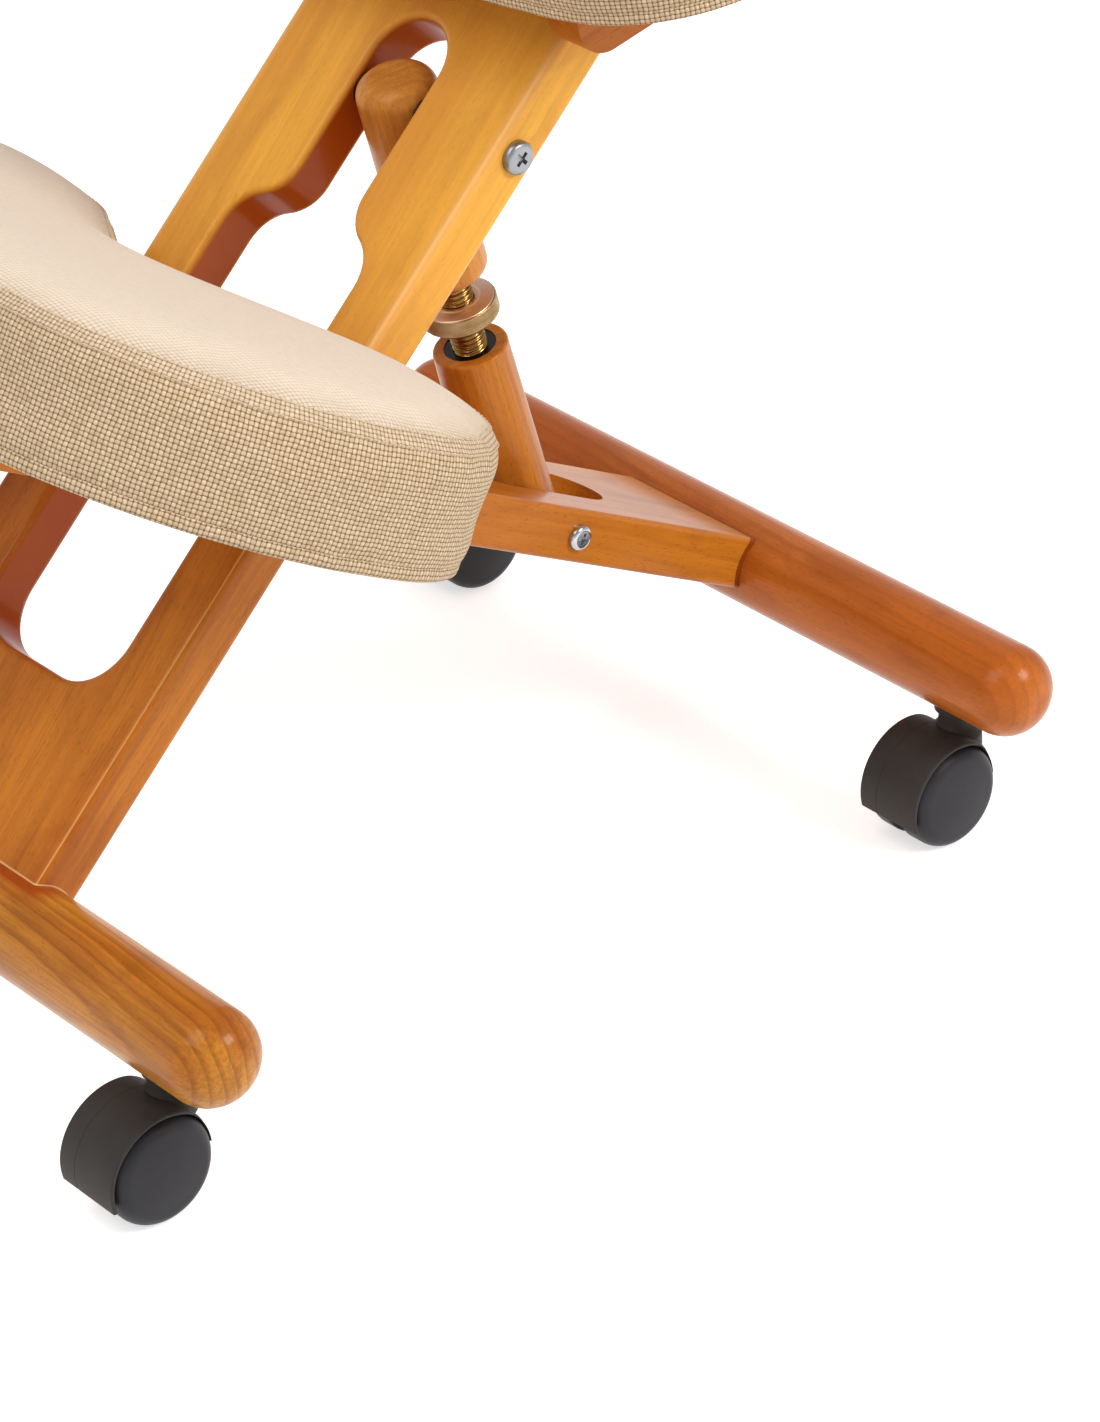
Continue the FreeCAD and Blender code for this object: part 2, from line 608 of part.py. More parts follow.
def leg_blank():
    """The leg board with rounded front corners and rounded long edges."""
    half = size("leg_width") / 2
    tip = size("leg_tip_round")
    front = pivot_on_leg - size("leg_ahead")
    foot = -size("leg_foot")
    side = [Part.makeLine(Vector(0, foot, 0), Vector(half, foot, 0)),
            Part.makeLine(Vector(half, foot, 0), Vector(half, front + tip, 0)),
            quarter(Vector(half - tip, front + tip, 0), Vector(half, front + tip, 0),
                    Vector(half - tip, front, 0)),
            Part.makeLine(Vector(half - tip, front, 0), Vector(0, front, 0))]
    edges = Part.sortEdges(side + [edge.mirror(Vector(), Vector(1, 0, 0)) for edge in side])[0]
    shape = Part.Face(Part.Wire(edges)).extrude(Vector(0, 0, size("leg_thick")))
    shape.translate(Vector(0, 0, -size("leg_thick") / 2))

    def is_arris(edge):
        spot = edge.CenterOfMass
        return (abs(abs(spot.z) - size("leg_thick") / 2) < TINY
                and abs(spot.y - foot) > TINY)
    return shape.makeFillet(size("leg_arris"), [edge for edge in shape.Edges if is_arris(edge)])


tools = bar_joint_tools("rear", LEG, "leg_bolt_pitch", -1)
hole_low = -size("leg_thick") / 2 - size("overrun")
hole_straight = "post_hole_length - post_hole_width"
hole_half = worth(hole_straight) / 2
tools.append(box("post_hole_middle", "post_hole_width", hole_straight, "leg_thick + 2 * overrun",
                 at(-size("post_hole_width") / 2, -size("post_pivot_reach") - hole_half, hole_low)))
for i, side in enumerate((-1, 1)):
    tools.append(rod(f"post_hole_end{i}", "post_hole_width", "leg_thick + 2 * overrun",
                     at(0, -size("post_pivot_reach") + side * hole_half, hole_low)))
tools.append(rod("post_screw_hole", "screw_diameter + 2 * seat_gap", "leg_width + 2 * overrun",
                 at(-size("leg_width") / 2 - size("overrun"), -size("post_pivot_reach"), 0, ACROSS)))
PIVOT_SLEEVE = "(pivot_diameter + 2 * run_gap + 2 * sleeve_wall)"
tools.append(rod("pivot_leg_hole", PIVOT_SLEEVE + " + 2 * seat_gap", "leg_width + 2 * overrun",
                 at(-size("leg_width") / 2 - size("overrun"), pivot_on_leg, 0, ACROSS)))
PAD_SCREWS = [(side * size("pad_screw_pitch") / 2, -size(which))
              for which in ("pad_screw_first", "pad_screw_second") for side in (-1, 1)]
screw_reach = "wood_screw_length - base_board_thick"
for i, (x, y) in enumerate(PAD_SCREWS):
    tools.append(rod(f"pad_screw_hole{i}", "wood_screw_diameter + 2 * seat_gap",
                     screw_reach + " + overrun + seat_gap",
                     at(x, y + pad_notch, pad_seat + size("overrun"), DOWN)))
finish(cut("leg_board_cut", drawn("leg_board_blank", leg_blank()), tools), "leg_board", LEG)


# Main pivot: bolt, cap nut, sleeve and washers

def capped_bolt(name, diameter, head, height, length, place, recess=False):
    """A bolt with a low domed head, its shank along the frame's Z."""
    cap = rounded(name + "_cap", rod(name + "_head", head, height, at(turn=DOWN)), CAP_ROUND[height],
                  is_circle_at(-size(height), size(head) / 2))
    made = fused(name + "_whole", [cap, rod(name + "_shank", diameter, length)])
    if recess:
        arms = [box(f"{name}_recess{i}", *sides, f"{height}",
                    at(-worth(sides[0]) / 2, -worth(sides[1]) / 2, -size(height) - size(height) / 2))
                for i, sides in enumerate(((f"{head} * recess_share", f"{head} * recess_width_share"),
                                           (f"{head} * recess_width_share", f"{head} * recess_share")))]
        made = cut(name + "_crossed", made, arms)
    made.Placement = place
    return made


def cap_nut(name, diameter, head, height, bite, place):
    """A low domed nut, its closed face away from the frame's Z."""
    cap = rounded(name + "_cap", rod(name + "_head", head, height, at(turn=DOWN)), CAP_ROUND[height],
                  is_circle_at(-size(height), size(head) / 2))
    hole = rod(name + "_hole", diameter + " + 2 * seat_gap", bite + " + seat_gap + overrun",
               at(z=size("overrun"), turn=DOWN))
    made = cut(name + "_drilled", cap, [hole])
    made.Placement = place
    return made


CAP_ROUND = {"pivot_head_height": "pivot_head_round", "bolt_head_height": "bolt_head_round",
             "screw_head_height": "screw_head_round"}
half_width = size("board_width") / 2
PIVOT = BOARD.multiply(at(y=pivot_on_board))
finish(capped_bolt("pivot_bolt", "pivot_diameter", "pivot_head_diameter", "pivot_head_height",
                   "board_width + nut_bite", at(half_width, turn=BACKWARDS)), "main_pivot_bolt", PIVOT)
finish(cap_nut("pivot_nut", "pivot_diameter", "pivot_head_diameter", "pivot_head_height", "nut_bite",
               at(-half_width, turn=ACROSS)), "main_pivot_nut", PIVOT)
finish(tube("pivot_sleeve", PIVOT_SLEEVE, "pivot_diameter + 2 * run_gap", "leg_width",
            at(-size("leg_width") / 2, turn=ACROSS)), "pivot_sleeve", PIVOT)
washer_thick = "((slot_width - leg_width) / 2 - rest_gap)"
finish(group("pivot_washer_pair", [
    tube(f"pivot_washer{i}", "washer_diameter", "pivot_diameter + 2 * seat_gap", washer_thick,
         at(side * size("slot_width") / 2, turn=BACKWARDS if side > 0 else ACROSS))
    for i, side in enumerate((-1, 1))]), "pivot_washers", PIVOT)


# Lower post, turning in the leg board on two screws

bore = "rod_diameter + 2 * run_gap"
SCREW_SLEEVE = "(screw_diameter + 2 * run_gap + 2 * sleeve_wall)"
post = turned("lower_post_body", [
    ("0", "-post_foot_below"), ("post_foot_diameter / 2", "-post_foot_below"),
    ("post_foot_diameter / 2", "0"), ("post_top_diameter / 2", "lower_post_top"),
    ("bush_diameter / 2 + seat_gap", "lower_post_top"),
    ("bush_diameter / 2 + seat_gap", "lower_post_top - bush_sink - bush_length - seat_gap"),
    (f"({bore}) / 2 + bore_ease", "lower_post_top - bush_sink - bush_length - seat_gap"),
    (f"({bore}) / 2 + bore_ease", "lower_bore_floor"), ("0", "lower_bore_floor")])
dress(post, "Fillet", "lower_post_foot", "post_foot_round",
      is_circle_at(-size("post_foot_below"), size("post_foot_diameter") / 2))
dress(post, "Fillet", "lower_post_rim", "post_rim_round",
      is_circle_at(size("lower_post_top"), size("post_top_diameter") / 2))
cross = rod("lower_post_cross_hole", SCREW_SLEEVE + " + 2 * seat_gap", "2 * post_foot_diameter",
            at(-size("post_foot_diameter"), turn=ACROSS))
finish(cut("lower_post_cut", post, [cross]), "lower_post", POST)
finish(tube("bush_tube", "bush_diameter", bore, "bush_length",
            at(z=worth("lower_post_top - bush_sink - bush_length"))), "lower_post_bush", POST)
sleeve_long = "(post_foot_diameter - 2 * sleeve_short)"
finish(tube("lower_sleeve_tube", SCREW_SLEEVE, "screw_diameter + 2 * run_gap", sleeve_long,
            at(-worth(sleeve_long) / 2, turn=ACROSS)), "lower_post_sleeve", POST)
screws = []
for i, side in enumerate((-1, 1)):
    place = at(side * size("leg_width") / 2, turn=BACKWARDS if side > 0 else ACROSS)
    screws.append(capped_bolt(f"post_screw{i}", "screw_diameter", "screw_head_diameter", "screw_head_height",
                              f"leg_width / 2 - {sleeve_long} / 2 + screw_bite", place, recess=True))
finish(group("post_screw_pair", screws), "post_pivot_screws", Placement(lower_pivot, LEG.Rotation))


# Threaded rod and its knurled adjuster wheel

half_rod = "rod_diameter / 2"
spindle = turned("spindle_body", [
    ("0", "rod_start"), (half_rod, "rod_start"), (half_rod, "rod_start + rod_length"),
    ("0", "rod_start + rod_length")])
dress(spindle, "Chamfer", "spindle_ends", "rod_chamfer", lambda edge: isinstance(edge.Curve, Part.Circle))
finish(spindle, "threaded_rod", POST)
wheel_bore = "rod_diameter / 2 + run_gap"
wheel = turned("adjuster_body", [
    (wheel_bore, "wheel_start"), ("grip_diameter / 2", "wheel_start"),
    ("grip_diameter / 2", "wheel_start + grip_height"),
    ("grip_diameter / 2 - 2 * grip_chamfer", "wheel_start + grip_height"),
    ("hub_diameter / 2", "wheel_start + grip_height + hub_height"),
    (wheel_bore, "wheel_start + grip_height + hub_height")])
dress(wheel, "Chamfer", "adjuster_rim", "grip_chamfer",
      lambda edge: isinstance(edge.Curve, Part.Circle)
      and abs(edge.Curve.Radius - size("grip_diameter") / 2) < TINY)
finish(wheel, "adjuster_wheel", POST)


# Upper post, hanging on a bolt through the main board

post_end = f"({post_span!r} + upper_post_head)"
post = turned("upper_post_body", [
    ("insert_diameter / 2 + seat_gap", "upper_post_start"), ("upper_post_diameter / 2", "upper_post_start"),
    ("upper_post_diameter / 2", post_end), ("0", post_end),
    ("0", "upper_post_start + upper_bore_length"),
    (f"({bore}) / 2 + bore_ease", "upper_post_start + upper_bore_length"),
    (f"({bore}) / 2 + bore_ease", "upper_post_start + insert_length + seat_gap"),
    ("insert_diameter / 2 + seat_gap", "upper_post_start + insert_length + seat_gap")])
dress(post, "Fillet", "upper_post_head_round", "upper_post_round",
      lambda edge: isinstance(edge.Curve, Part.Circle) and edge.Curve.Center.z > post_span
      and edge.Curve.Radius > size("upper_post_diameter") / 2 - TINY)
dress(post, "Fillet", "upper_post_foot_round", "upper_post_foot_round",
      is_circle_at(size("upper_post_start"), size("upper_post_diameter") / 2))
PLAY_SLEEVE = "(bolt_diameter + 2 * bolt_play + 2 * sleeve_wall)"
cross = rod("upper_post_cross_hole", PLAY_SLEEVE + " + 2 * seat_gap", "2 * upper_post_diameter",
            at(-size("upper_post_diameter"), 0, post_span, ACROSS))
finish(cut("upper_post_cut", post, [cross]), "upper_post", POST)
finish(tube("insert_tube", "insert_diameter", bore, "insert_length", at(z=size("upper_post_start"))),
       "upper_post_insert", POST)
sleeve_long = "(upper_post_diameter - 2 * sleeve_short)"
finish(tube("upper_sleeve_tube", PLAY_SLEEVE, "bolt_diameter + 2 * bolt_play", sleeve_long,
            at(-worth(sleeve_long) / 2, 0, post_span, ACROSS)), "upper_post_sleeve", POST)
POST_BOLT = Placement(upper_pivot, BOARD.Rotation)
finish(capped_bolt("upper_bolt", "bolt_diameter", "bolt_head_diameter", "bolt_head_height",
                   "board_width + nut_bite", at(half_width, turn=BACKWARDS), recess=True),
       "upper_post_bolt", POST_BOLT)
finish(cap_nut("upper_nut", "bolt_diameter", "bolt_head_diameter", "bolt_head_height", "nut_bite",
               at(-half_width, turn=ACROSS)), "upper_post_bolt_nut", POST_BOLT)
spacer_thick = "((neck_slot_width - upper_post_diameter) / 2 - rest_gap)"
finish(group("spacer_pair", [
    tube(f"spacer{i}", "spacer_diameter", "bolt_diameter + 2 * seat_gap", spacer_thick,
         at(side * size("neck_slot_width") / 2, turn=BACKWARDS if side > 0 else ACROSS))
    for i, side in enumerate((-1, 1))]), "upper_post_spacers", POST_BOLT)


# Seat: bearers, base board, screws and cushion

def edge_centre(half, corner, reach, big):
    """Height of a corner circle that sits inside a long gentle edge."""
    return reach - big + math.sqrt((big - corner) ** 2 - half ** 2)


def seat_circles():
    """Outline of the seat: wider at the back, all its edges gently curved."""
    reach = size("seat_depth") / 2
    big = size("seat_edge_round")
    back = size("seat_back_corner")
    front = size("seat_front_corner")
    back_x = size("seat_width") / 2 - back
    front_x = size("seat_front_width") / 2 - front
    back_y = edge_centre(back_x, back, reach, big)
    front_y = -edge_centre(front_x, front, reach, big)
    return [(back_x, back_y, back), (0, reach - big, big), (-back_x, back_y, back),
            (-front_x, front_y, front), (0, big - reach, big), (front_x, front_y, front)]


def knee_circles():
    """Outline of the knee pad: two lobes with a notch between them at the back."""
    lobe = size("lobe_round")
    corner = size("pad_front_corner")
    big = size("pad_front_round")
    lobe_x = size("pad_half_width") - lobe
    lobe_y = size("lobe_back") - lobe
    corner_x = size("pad_half_width") - corner
    corner_y = -edge_centre(corner_x, corner, size("pad_depth"), big)
    return [(lobe_x, lobe_y, lobe), (0, size("notch_round"), -size("notch_round")), (-lobe_x, lobe_y, lobe),
            (-corner_x, corner_y, corner), (0, big - size("pad_depth"), big), (corner_x, corner_y, corner)]


def wood_screws(name, spots, place):
    """Countersunk screws, heads flush with the base board's top."""
    made = []
    for i, (x, y) in enumerate(spots):
        top = at(x, y, size("base_board_thick"), DOWN)
        head = cone(f"{name}_head{i}", "wood_screw_head", "wood_screw_diameter",
                    "(wood_screw_head - wood_screw_diameter) / 2", top)
        shank = rod(f"{name}_shank{i}", "wood_screw_diameter", "wood_screw_length", top)
        made.append(fused(f"{name}{i}", [head, shank]))
    return finish(group(name + "_set", made), name, place)


def base_board(name, circles, spots, place):
    """Plywood under a cushion, drilled and countersunk for its screws."""
    tools = []
    for i, (x, y) in enumerate(spots):
        top = at(x, y, size("base_board_thick"), DOWN)
        tools.append(cone(f"{name}_sink{i}", "wood_screw_head + 2 * seat_gap",
                          "wood_screw_diameter + 2 * seat_gap",
                          "(wood_screw_head - wood_screw_diameter) / 2", top))
        tools.append(rod(f"{name}_hole{i}", "wood_screw_diameter + 2 * seat_gap",
                         "base_board_thick + overrun", top))
    board = drawn(name + "_blank", slab(circles, size("base_board_inset"), 0, size("base_board_thick")))
    finish(cut(name + "_cut", board, tools), name, place)


def cushion(name, circles, thick, place):
    """Foam and cover as one solid that wraps the base board's edges."""
    recess = slab(circles, size("base_board_inset") - size("rest_gap"), 0, size("base_board_thick"))
    solid = drawn(name + "_solid", cushion_solid(circles, size(thick)))
    finish(cut(name + "_cut", solid, [drawn(name + "_recess", recess)]), name, place)


SEAT_SCREWS = [(side * (half_width + size("bearer_width") / 2), way * size("seat_screw_pitch") / 2)
               for side in (-1, 1) for way in (-1, 1)]
bearers = []
for i, side in enumerate((-1, 1)):
    x = half_width if side > 0 else -half_width - size("bearer_width")
    blank = box(f"bearer_blank{i}", "bearer_width", "bearer_length", "bearer_height",
                at(x, -size("bearer_length") / 2, -size("bearer_height")))
    blank = rounded(f"bearer_round{i}", blank, "bearer_round",
                    lambda edge: edge.BoundBox.XLength > TINY and edge.BoundBox.YLength < TINY
                    and edge.CenterOfMass.z < -size("bearer_height") + TINY)
    tools = [rod(f"bearer_screw_hole{i}{j}", "wood_screw_diameter + 2 * seat_gap",
                 screw_reach + " + overrun + seat_gap", at(spot[0], spot[1], size("overrun"), DOWN))
             for j, spot in enumerate(SEAT_SCREWS) if spot[0] * side > 0]
    for j, (bolt_side, reach) in enumerate(BEARER_BOLTS):
        if bolt_side == side:
            place = seen_from(SEAT_MIDDLE, BOARD, at(0, reach, 0, ACROSS))
            place.Base.x = side * half_width if side > 0 else -half_width - size("bearer_width")
            place.move(Vector(-size("overrun"), 0, 0))
            tools.append(rod(f"bearer_bolt_hole{i}{j}", "bolt_diameter + 2 * seat_gap",
                             "bearer_width + 2 * overrun", place))
    bearers.append(cut(f"bearer{i}", blank, tools))
finish(group("bearer_pair", bearers), "seat_bearers", SEAT_MIDDLE)
bolts = []
for i, (side, reach) in enumerate(BEARER_BOLTS):
    x = side * (half_width + size("bearer_width"))
    bolts.append(capped_bolt(f"bearer_bolt{i}", "bolt_diameter", "bolt_head_diameter", "bolt_head_height",
                             "bearer_width + bearer_bolt_bite",
                             at(x, reach, 0, BACKWARDS if side > 0 else ACROSS), recess=True))
finish(group("bearer_bolt_set", bolts), "bearer_bolts", BOARD)
base_board("seat_base_board", seat_circles(), SEAT_SCREWS, SEAT_MIDDLE)
wood_screws("seat_board_screws", SEAT_SCREWS, SEAT_MIDDLE)
cushion("seat_cushion", seat_circles(), "seat_thick", SEAT_MIDDLE)
base_board("knee_base_board", knee_circles(), PAD_SCREWS, PAD)
wood_screws("knee_board_screws", PAD_SCREWS, PAD)
cushion("knee_cushion", knee_circles(), "pad_thick", PAD)


# Casters: stem, hood, axle and two wheels at each corner

DOME_SHARES = ((0.78, 0.3), (0.6, 0.62), (0.38, 0.87), (0.18, 0.97))
hood_outer = "(wheel_diameter + 2 * hood_gap + 2 * hood_wall)"
hood_inner = "(wheel_diameter + 2 * hood_gap)"
hood_width = "(web_width + 2 * rest_gap + 2 * wheel_width)"
neck_top = size("caster_height") - size("flange_proud") - size("rest_gap")


def caster_wheel(name):
    """A wheel on its own axis: inner face at zero, domed cap outwards."""
    radius = "wheel_diameter / 2"
    bored = "axle_diameter / 2 + run_gap"
    points = [(bored, "0"), (radius, "0"), (radius, "wheel_width")]
    points += [(f"{radius} * {out}", f"wheel_width + wheel_dome * {rise}") for out, rise in DOME_SHARES]
    points += [("0", "wheel_width + wheel_dome"), ("0", "wheel_width - wheel_cap"),
               (bored, "wheel_width - wheel_cap")]
    made = turned(name, points)
    return dress(made, "Fillet", name + "_tread", "wheel_round",
                 is_circle_at(size("wheel_width"), size("wheel_diameter") / 2))


def caster_hood(name):
    """Shell over both wheels, a web between them and a neck for the stem."""
    radius = size("wheel_diameter") / 2
    outer = worth(hood_outer) / 2
    middle = Vector(0, -size("caster_trail"), radius)
    shell = rod(name + "_shell", hood_outer, hood_width,
                at(-worth(hood_width) / 2, middle.y, middle.z, ACROSS))
    low = math.radians(size("hood_low_angle"))
    high = math.radians(size("hood_front_angle"))
    back = Vector(0, middle.y - outer * math.cos(low), middle.z - outer * math.sin(low))
    front = Vector(0, middle.y + outer * math.cos(high), middle.z + outer * math.sin(high))
    slant = Rotation(Vector(0, 1, 0), front - back)
    below = box(name + "_below", f"2 * {hood_width}", f"2 * {hood_outer}", hood_outer,
                Placement(back, slant).multiply(at(-worth(hood_width), -outer, -2 * outer)))
    trimmed = cut(name + "_trimmed", shell, [below])
    neck_low = middle.z + radius / 2
    neck = rod(name + "_neck", "neck_diameter", repr(neck_top - neck_low), at(z=neck_low))
    spaces = []
    for side, turn in ((-1, BACKWARDS), (1, ACROSS)):
        spaces.append(rod(f"{name}_space{len(spaces)}", hood_inner, "wheel_width + rest_gap + neck_diameter",
                          at(side * size("web_width") / 2, middle.y, middle.z, turn)))
    opened = cut(name + "_opened", fused(name + "_blank", [trimmed, neck]), spaces)
    boss = rod(name + "_boss", "axle_boss", "web_width",
               at(-size("web_width") / 2, middle.y, middle.z, ACROSS))
    holes = [rod(name + "_axle_hole", "axle_diameter + 2 * seat_gap", "web_width + 2 * overrun",
                 at(-size("web_width") / 2 - size("overrun"), middle.y, middle.z, ACROSS)),
             rod(name + "_stem_hole", "stem_diameter + 2 * seat_gap", "stem_seat + overrun",
                 at(z=neck_top - size("stem_seat")))]
    return cut(name + "_drilled", fused(name + "_bossed", [opened, boss]), holes)


def caster(which, x, y):
    """One twin-wheel caster under a bar."""
    place = at(x, y)
    axle_y = -size("caster_trail")
    axle_z = size("wheel_diameter") / 2
    finish(caster_hood(which + "_hood_made"), which + "_caster_hood", place)
    finish(rod(which + "_stem_made", "stem_diameter", "stem_seat + stem_depth + flange_proud + rest_gap",
               at(z=neck_top - size("stem_seat"))), which + "_caster_stem", place)
    reach = "(web_width / 2 + rest_gap + wheel_width - wheel_cap - rest_gap)"
    finish(rod(which + "_axle_made", "axle_diameter", f"2 * {reach}",
               at(-worth(reach), axle_y, axle_z, ACROSS)), which + "_caster_axle", place)
    inner = size("web_width") / 2 + size("rest_gap")
    for side, way, turn in ((1, "right", ACROSS), (-1, "left", BACKWARDS)):
        made = caster_wheel(f"{which}_{way}_wheel_made")
        made.Placement = at(side * inner, axle_y, axle_z, turn)
        finish(made, f"{which}_caster_{way}_wheel", place)


stem_x = size("bar_length") / 2 - size("caster_inset")
for end, y in (("front", FRONT.Base.y), ("rear", REAR.Base.y)):
    for hand, side in (("left", -1), ("right", 1)):
        caster(f"{end}_{hand}", side * stem_x, y)


# Check every object and write each sub-part

doc.recompute()
for made in doc.Objects:
    if "Invalid" in made.State or "Error" in made.State:
        raise RuntimeError(f"{made.Name} did not build: {made.State}")
labels = [made.Label for made in SUBPARTS]
if len(set(labels)) != len(labels):
    raise RuntimeError("two sub-parts share a label")
whole = FreeCAD.BoundBox()
for made in SUBPARTS:
    if made.Shape.isNull() or not made.Shape.isValid() or made.Shape.Volume <= 0:
        raise RuntimeError(f"{made.Label} is not a sound solid")
    whole.add(made.Shape.optimalBoundingBox())
    made.Shape.exportStep(f"parts/{made.Label}.step")
print(f"{len(SUBPARTS)} sub-parts")
print(f"overall {whole.XLength:.1f} x {whole.YLength:.1f} x {whole.ZLength:.1f} mm")
print(f"middle of the box at Y {whole.Center.y:.2f} mm, lowest point {whole.ZMin:.3f} mm")
for label, spot in (("main pivot", PIVOT.Base), ("lower pivot", lower_pivot), ("upper pivot", upper_pivot)):
    print(f"{label} at Y {spot.y:.3f}, Z {spot.z:.3f} mm")
print(f"posts' pivots {post_span:.3f} mm apart, leaning {math.degrees(POST.Rotation.Angle):.3f} degrees")
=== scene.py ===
# %% [markdown]
# # A kneeling stool of lacquered wood
# The stool stands on two round bars with casters. A broad main board climbs from the front bar to
# the seat, a leg board climbs from the rear bar through a slot in it to the knee pad, and a screw
# between two short posts sets the angle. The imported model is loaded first: it is the fixed frame
# that every piece here is laid on, in metres.

# %% Load the frame
import math
from functools import partial

import bmesh
import bpy
import numpy as np
from mathutils import Matrix, Vector
from mathutils.bvhtree import BVHTree
from mathutils.kdtree import KDTree


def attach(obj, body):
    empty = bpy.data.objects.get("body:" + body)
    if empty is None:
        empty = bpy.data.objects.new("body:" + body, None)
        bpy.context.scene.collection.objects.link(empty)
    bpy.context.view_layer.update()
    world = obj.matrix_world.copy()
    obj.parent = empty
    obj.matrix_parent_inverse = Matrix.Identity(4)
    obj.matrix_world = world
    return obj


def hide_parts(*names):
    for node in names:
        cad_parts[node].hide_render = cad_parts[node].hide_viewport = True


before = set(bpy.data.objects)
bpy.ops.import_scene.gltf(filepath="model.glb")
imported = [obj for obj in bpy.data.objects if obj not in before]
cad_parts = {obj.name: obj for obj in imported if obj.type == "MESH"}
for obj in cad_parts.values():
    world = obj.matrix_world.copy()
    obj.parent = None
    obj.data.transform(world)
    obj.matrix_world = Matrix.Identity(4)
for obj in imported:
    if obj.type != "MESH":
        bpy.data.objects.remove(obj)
scene = bpy.context.scene
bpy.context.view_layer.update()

# %% [markdown]
# Most pieces are shaped flat, about their own middle, and then leaned into place. A place is a
# matrix: a point in the stool's frame and a lean about the crosswise X axis.

# %% Places and leans
MM = 0.001


def place(y, z, lean=0.0, x=0.0):
    """A point in the stool's frame, in millimetres, with a lean about X in degrees."""
    return Matrix.Translation(Vector((x, y, z)) * MM) @ Matrix.Rotation(math.radians(lean), 4, "X")


FRONT_Y, REAR_Y, BAR_Z = -249.9, 199.1, 82.5
BOARD_LEAN, LEG_LEAN, SEAT_LEAN = 45.5, -26, 14
FRONT_BAR, BOARD = place(FRONT_Y, BAR_Z), place(FRONT_Y, BAR_Z, BOARD_LEAN)
REAR_BAR, LEG = place(REAR_Y, BAR_Z), place(REAR_Y, BAR_Z, LEG_LEAN)
PAD = LEG @ place(-380.7, 12.5)
SEAT = BOARD @ place(530, 0, SEAT_LEAN - BOARD_LEAN) @ place(22, 0)
POST = place(78.662, 141.242, 16.108)
for title, spot in (("knee pad", PAD), ("seat", SEAT), ("posts", POST)):
    print(title, "at", [round(v, 4) for v in spot.translation])

# %% [markdown]
# The camera stands at the front right of the stool and well above it, far off with a long lens, so
# that the picture is a close crop of the lower half. Its place was worked out from the edges of the
# boards and bars. The frame is taller than wide, so the sensor's width is the long side.

# %% Camera
LONG_SIDE = 1422
FOCAL_PIXELS = 5097.1
AZIMUTH, ELEVATION, ROLL = 49.474, 29.607, -0.4826
STAND = Vector((1576.39, -1249.37, 1203.82)) * MM


def added(name, data):
    """A new object in the scene."""
    made = bpy.data.objects.new(name, data)
    scene.collection.objects.link(made)
    return made


camera = added("camera", bpy.data.cameras.new("camera"))
camera.data.sensor_width = 36
camera.data.lens = FOCAL_PIXELS * camera.data.sensor_width / LONG_SIDE
camera.data.clip_start, camera.data.clip_end = 0.1, 50
turn, rise = math.radians(AZIMUTH), math.radians(ELEVATION)
back = Vector((math.sin(turn) * math.cos(rise), -math.cos(turn) * math.cos(rise), math.sin(rise)))
level = (-back).cross(Vector((0, 0, 1))).normalized()
up = level.cross(-back)
roll = math.radians(ROLL)
right = level * math.cos(roll) + up * math.sin(roll)
up = up * math.cos(roll) - level * math.sin(roll)
axes = Matrix((right, up, back)).transposed().to_4x4()
camera.matrix_world = Matrix.Translation(STAND) @ axes
scene.camera = camera
scene.view_settings.view_transform = "Standard"
print("lens", round(camera.data.lens, 2), "mm")

# %% [markdown]
# A material is a small network of nodes. One helper adds a node and plugs in plain values or other
# nodes' results. The others are steps that come up again and again, such as noise or a fine relief.

# %% Node helpers


def node(tree, kind, plugs=None, **options):
    """Adds a node; each plug is a value or the output of another node."""
    made = tree.nodes.new(kind)
    for option, value in options.items():
        setattr(made, option, value)
    for socket, value in (plugs or {}).items():
        if isinstance(value, bpy.types.NodeSocket):
            tree.links.new(value, made.inputs[socket])
        else:
            made.inputs[socket].default_value = value
    return made


def maths(tree, operation, first, second=0.0, third=0.0, clamp=False):
    """One step of arithmetic inside a node tree."""
    return node(tree, "ShaderNodeMath", {0: first, 1: second, 2: third},
                operation=operation, use_clamp=clamp).outputs[0]


def both(tree, first, second):
    """The product of two shares."""
    return maths(tree, "MULTIPLY", first, second)


def without(tree, share):
    """One less a share."""
    return maths(tree, "SUBTRACT", 1, share)


def linear(tree, share, slope, start, clamp=False):
    """A share times a slope, plus a start."""
    return maths(tree, "MULTIPLY_ADD", share, slope, start, clamp)


def tone(text):
    """A colour as it looks on screen, turned into the linear light that shaders use."""
    parts = [int(text[i:i + 2], 16) / 255 for i in (0, 2, 4)]
    return [p / 12.92 if p <= 0.04045 else ((p + 0.055) / 1.055) ** 2.4 for p in parts] + [1.0]


def mixed(tree, share, first, second, blend="MIX"):
    """A colour between two others, each from a node or given as a tone."""
    first, second = [tone(side) if isinstance(side, str) else side for side in (first, second)]
    return node(tree, "ShaderNodeMix", {0: share, 6: first, 7: second},
                data_type="RGBA", blend_type=blend).outputs[2]


def steps(tree, share, *stops):
    """A colour ramp: pairs of a position and a grey level."""
    ramp = node(tree, "ShaderNodeValToRGB", {0: share})
    while len(ramp.color_ramp.elements) < len(stops):
        ramp.color_ramp.elements.new(0.5)
    for element, (spot, grey) in zip(ramp.color_ramp.elements, stops):
        element.position = spot
        element.color = (grey, grey, grey, 1)
    return ramp.outputs[0]


def xyz(tree, vector):
    """A vector's parts, by letter."""
    return node(tree, "ShaderNodeSeparateXYZ", {0: vector}).outputs


def vectors(tree, operation, *terms):
    """One step of arithmetic on vectors."""
    plugs = dict(enumerate(terms))
    return node(tree, "ShaderNodeVectorMath", plugs, operation=operation).outputs[0]


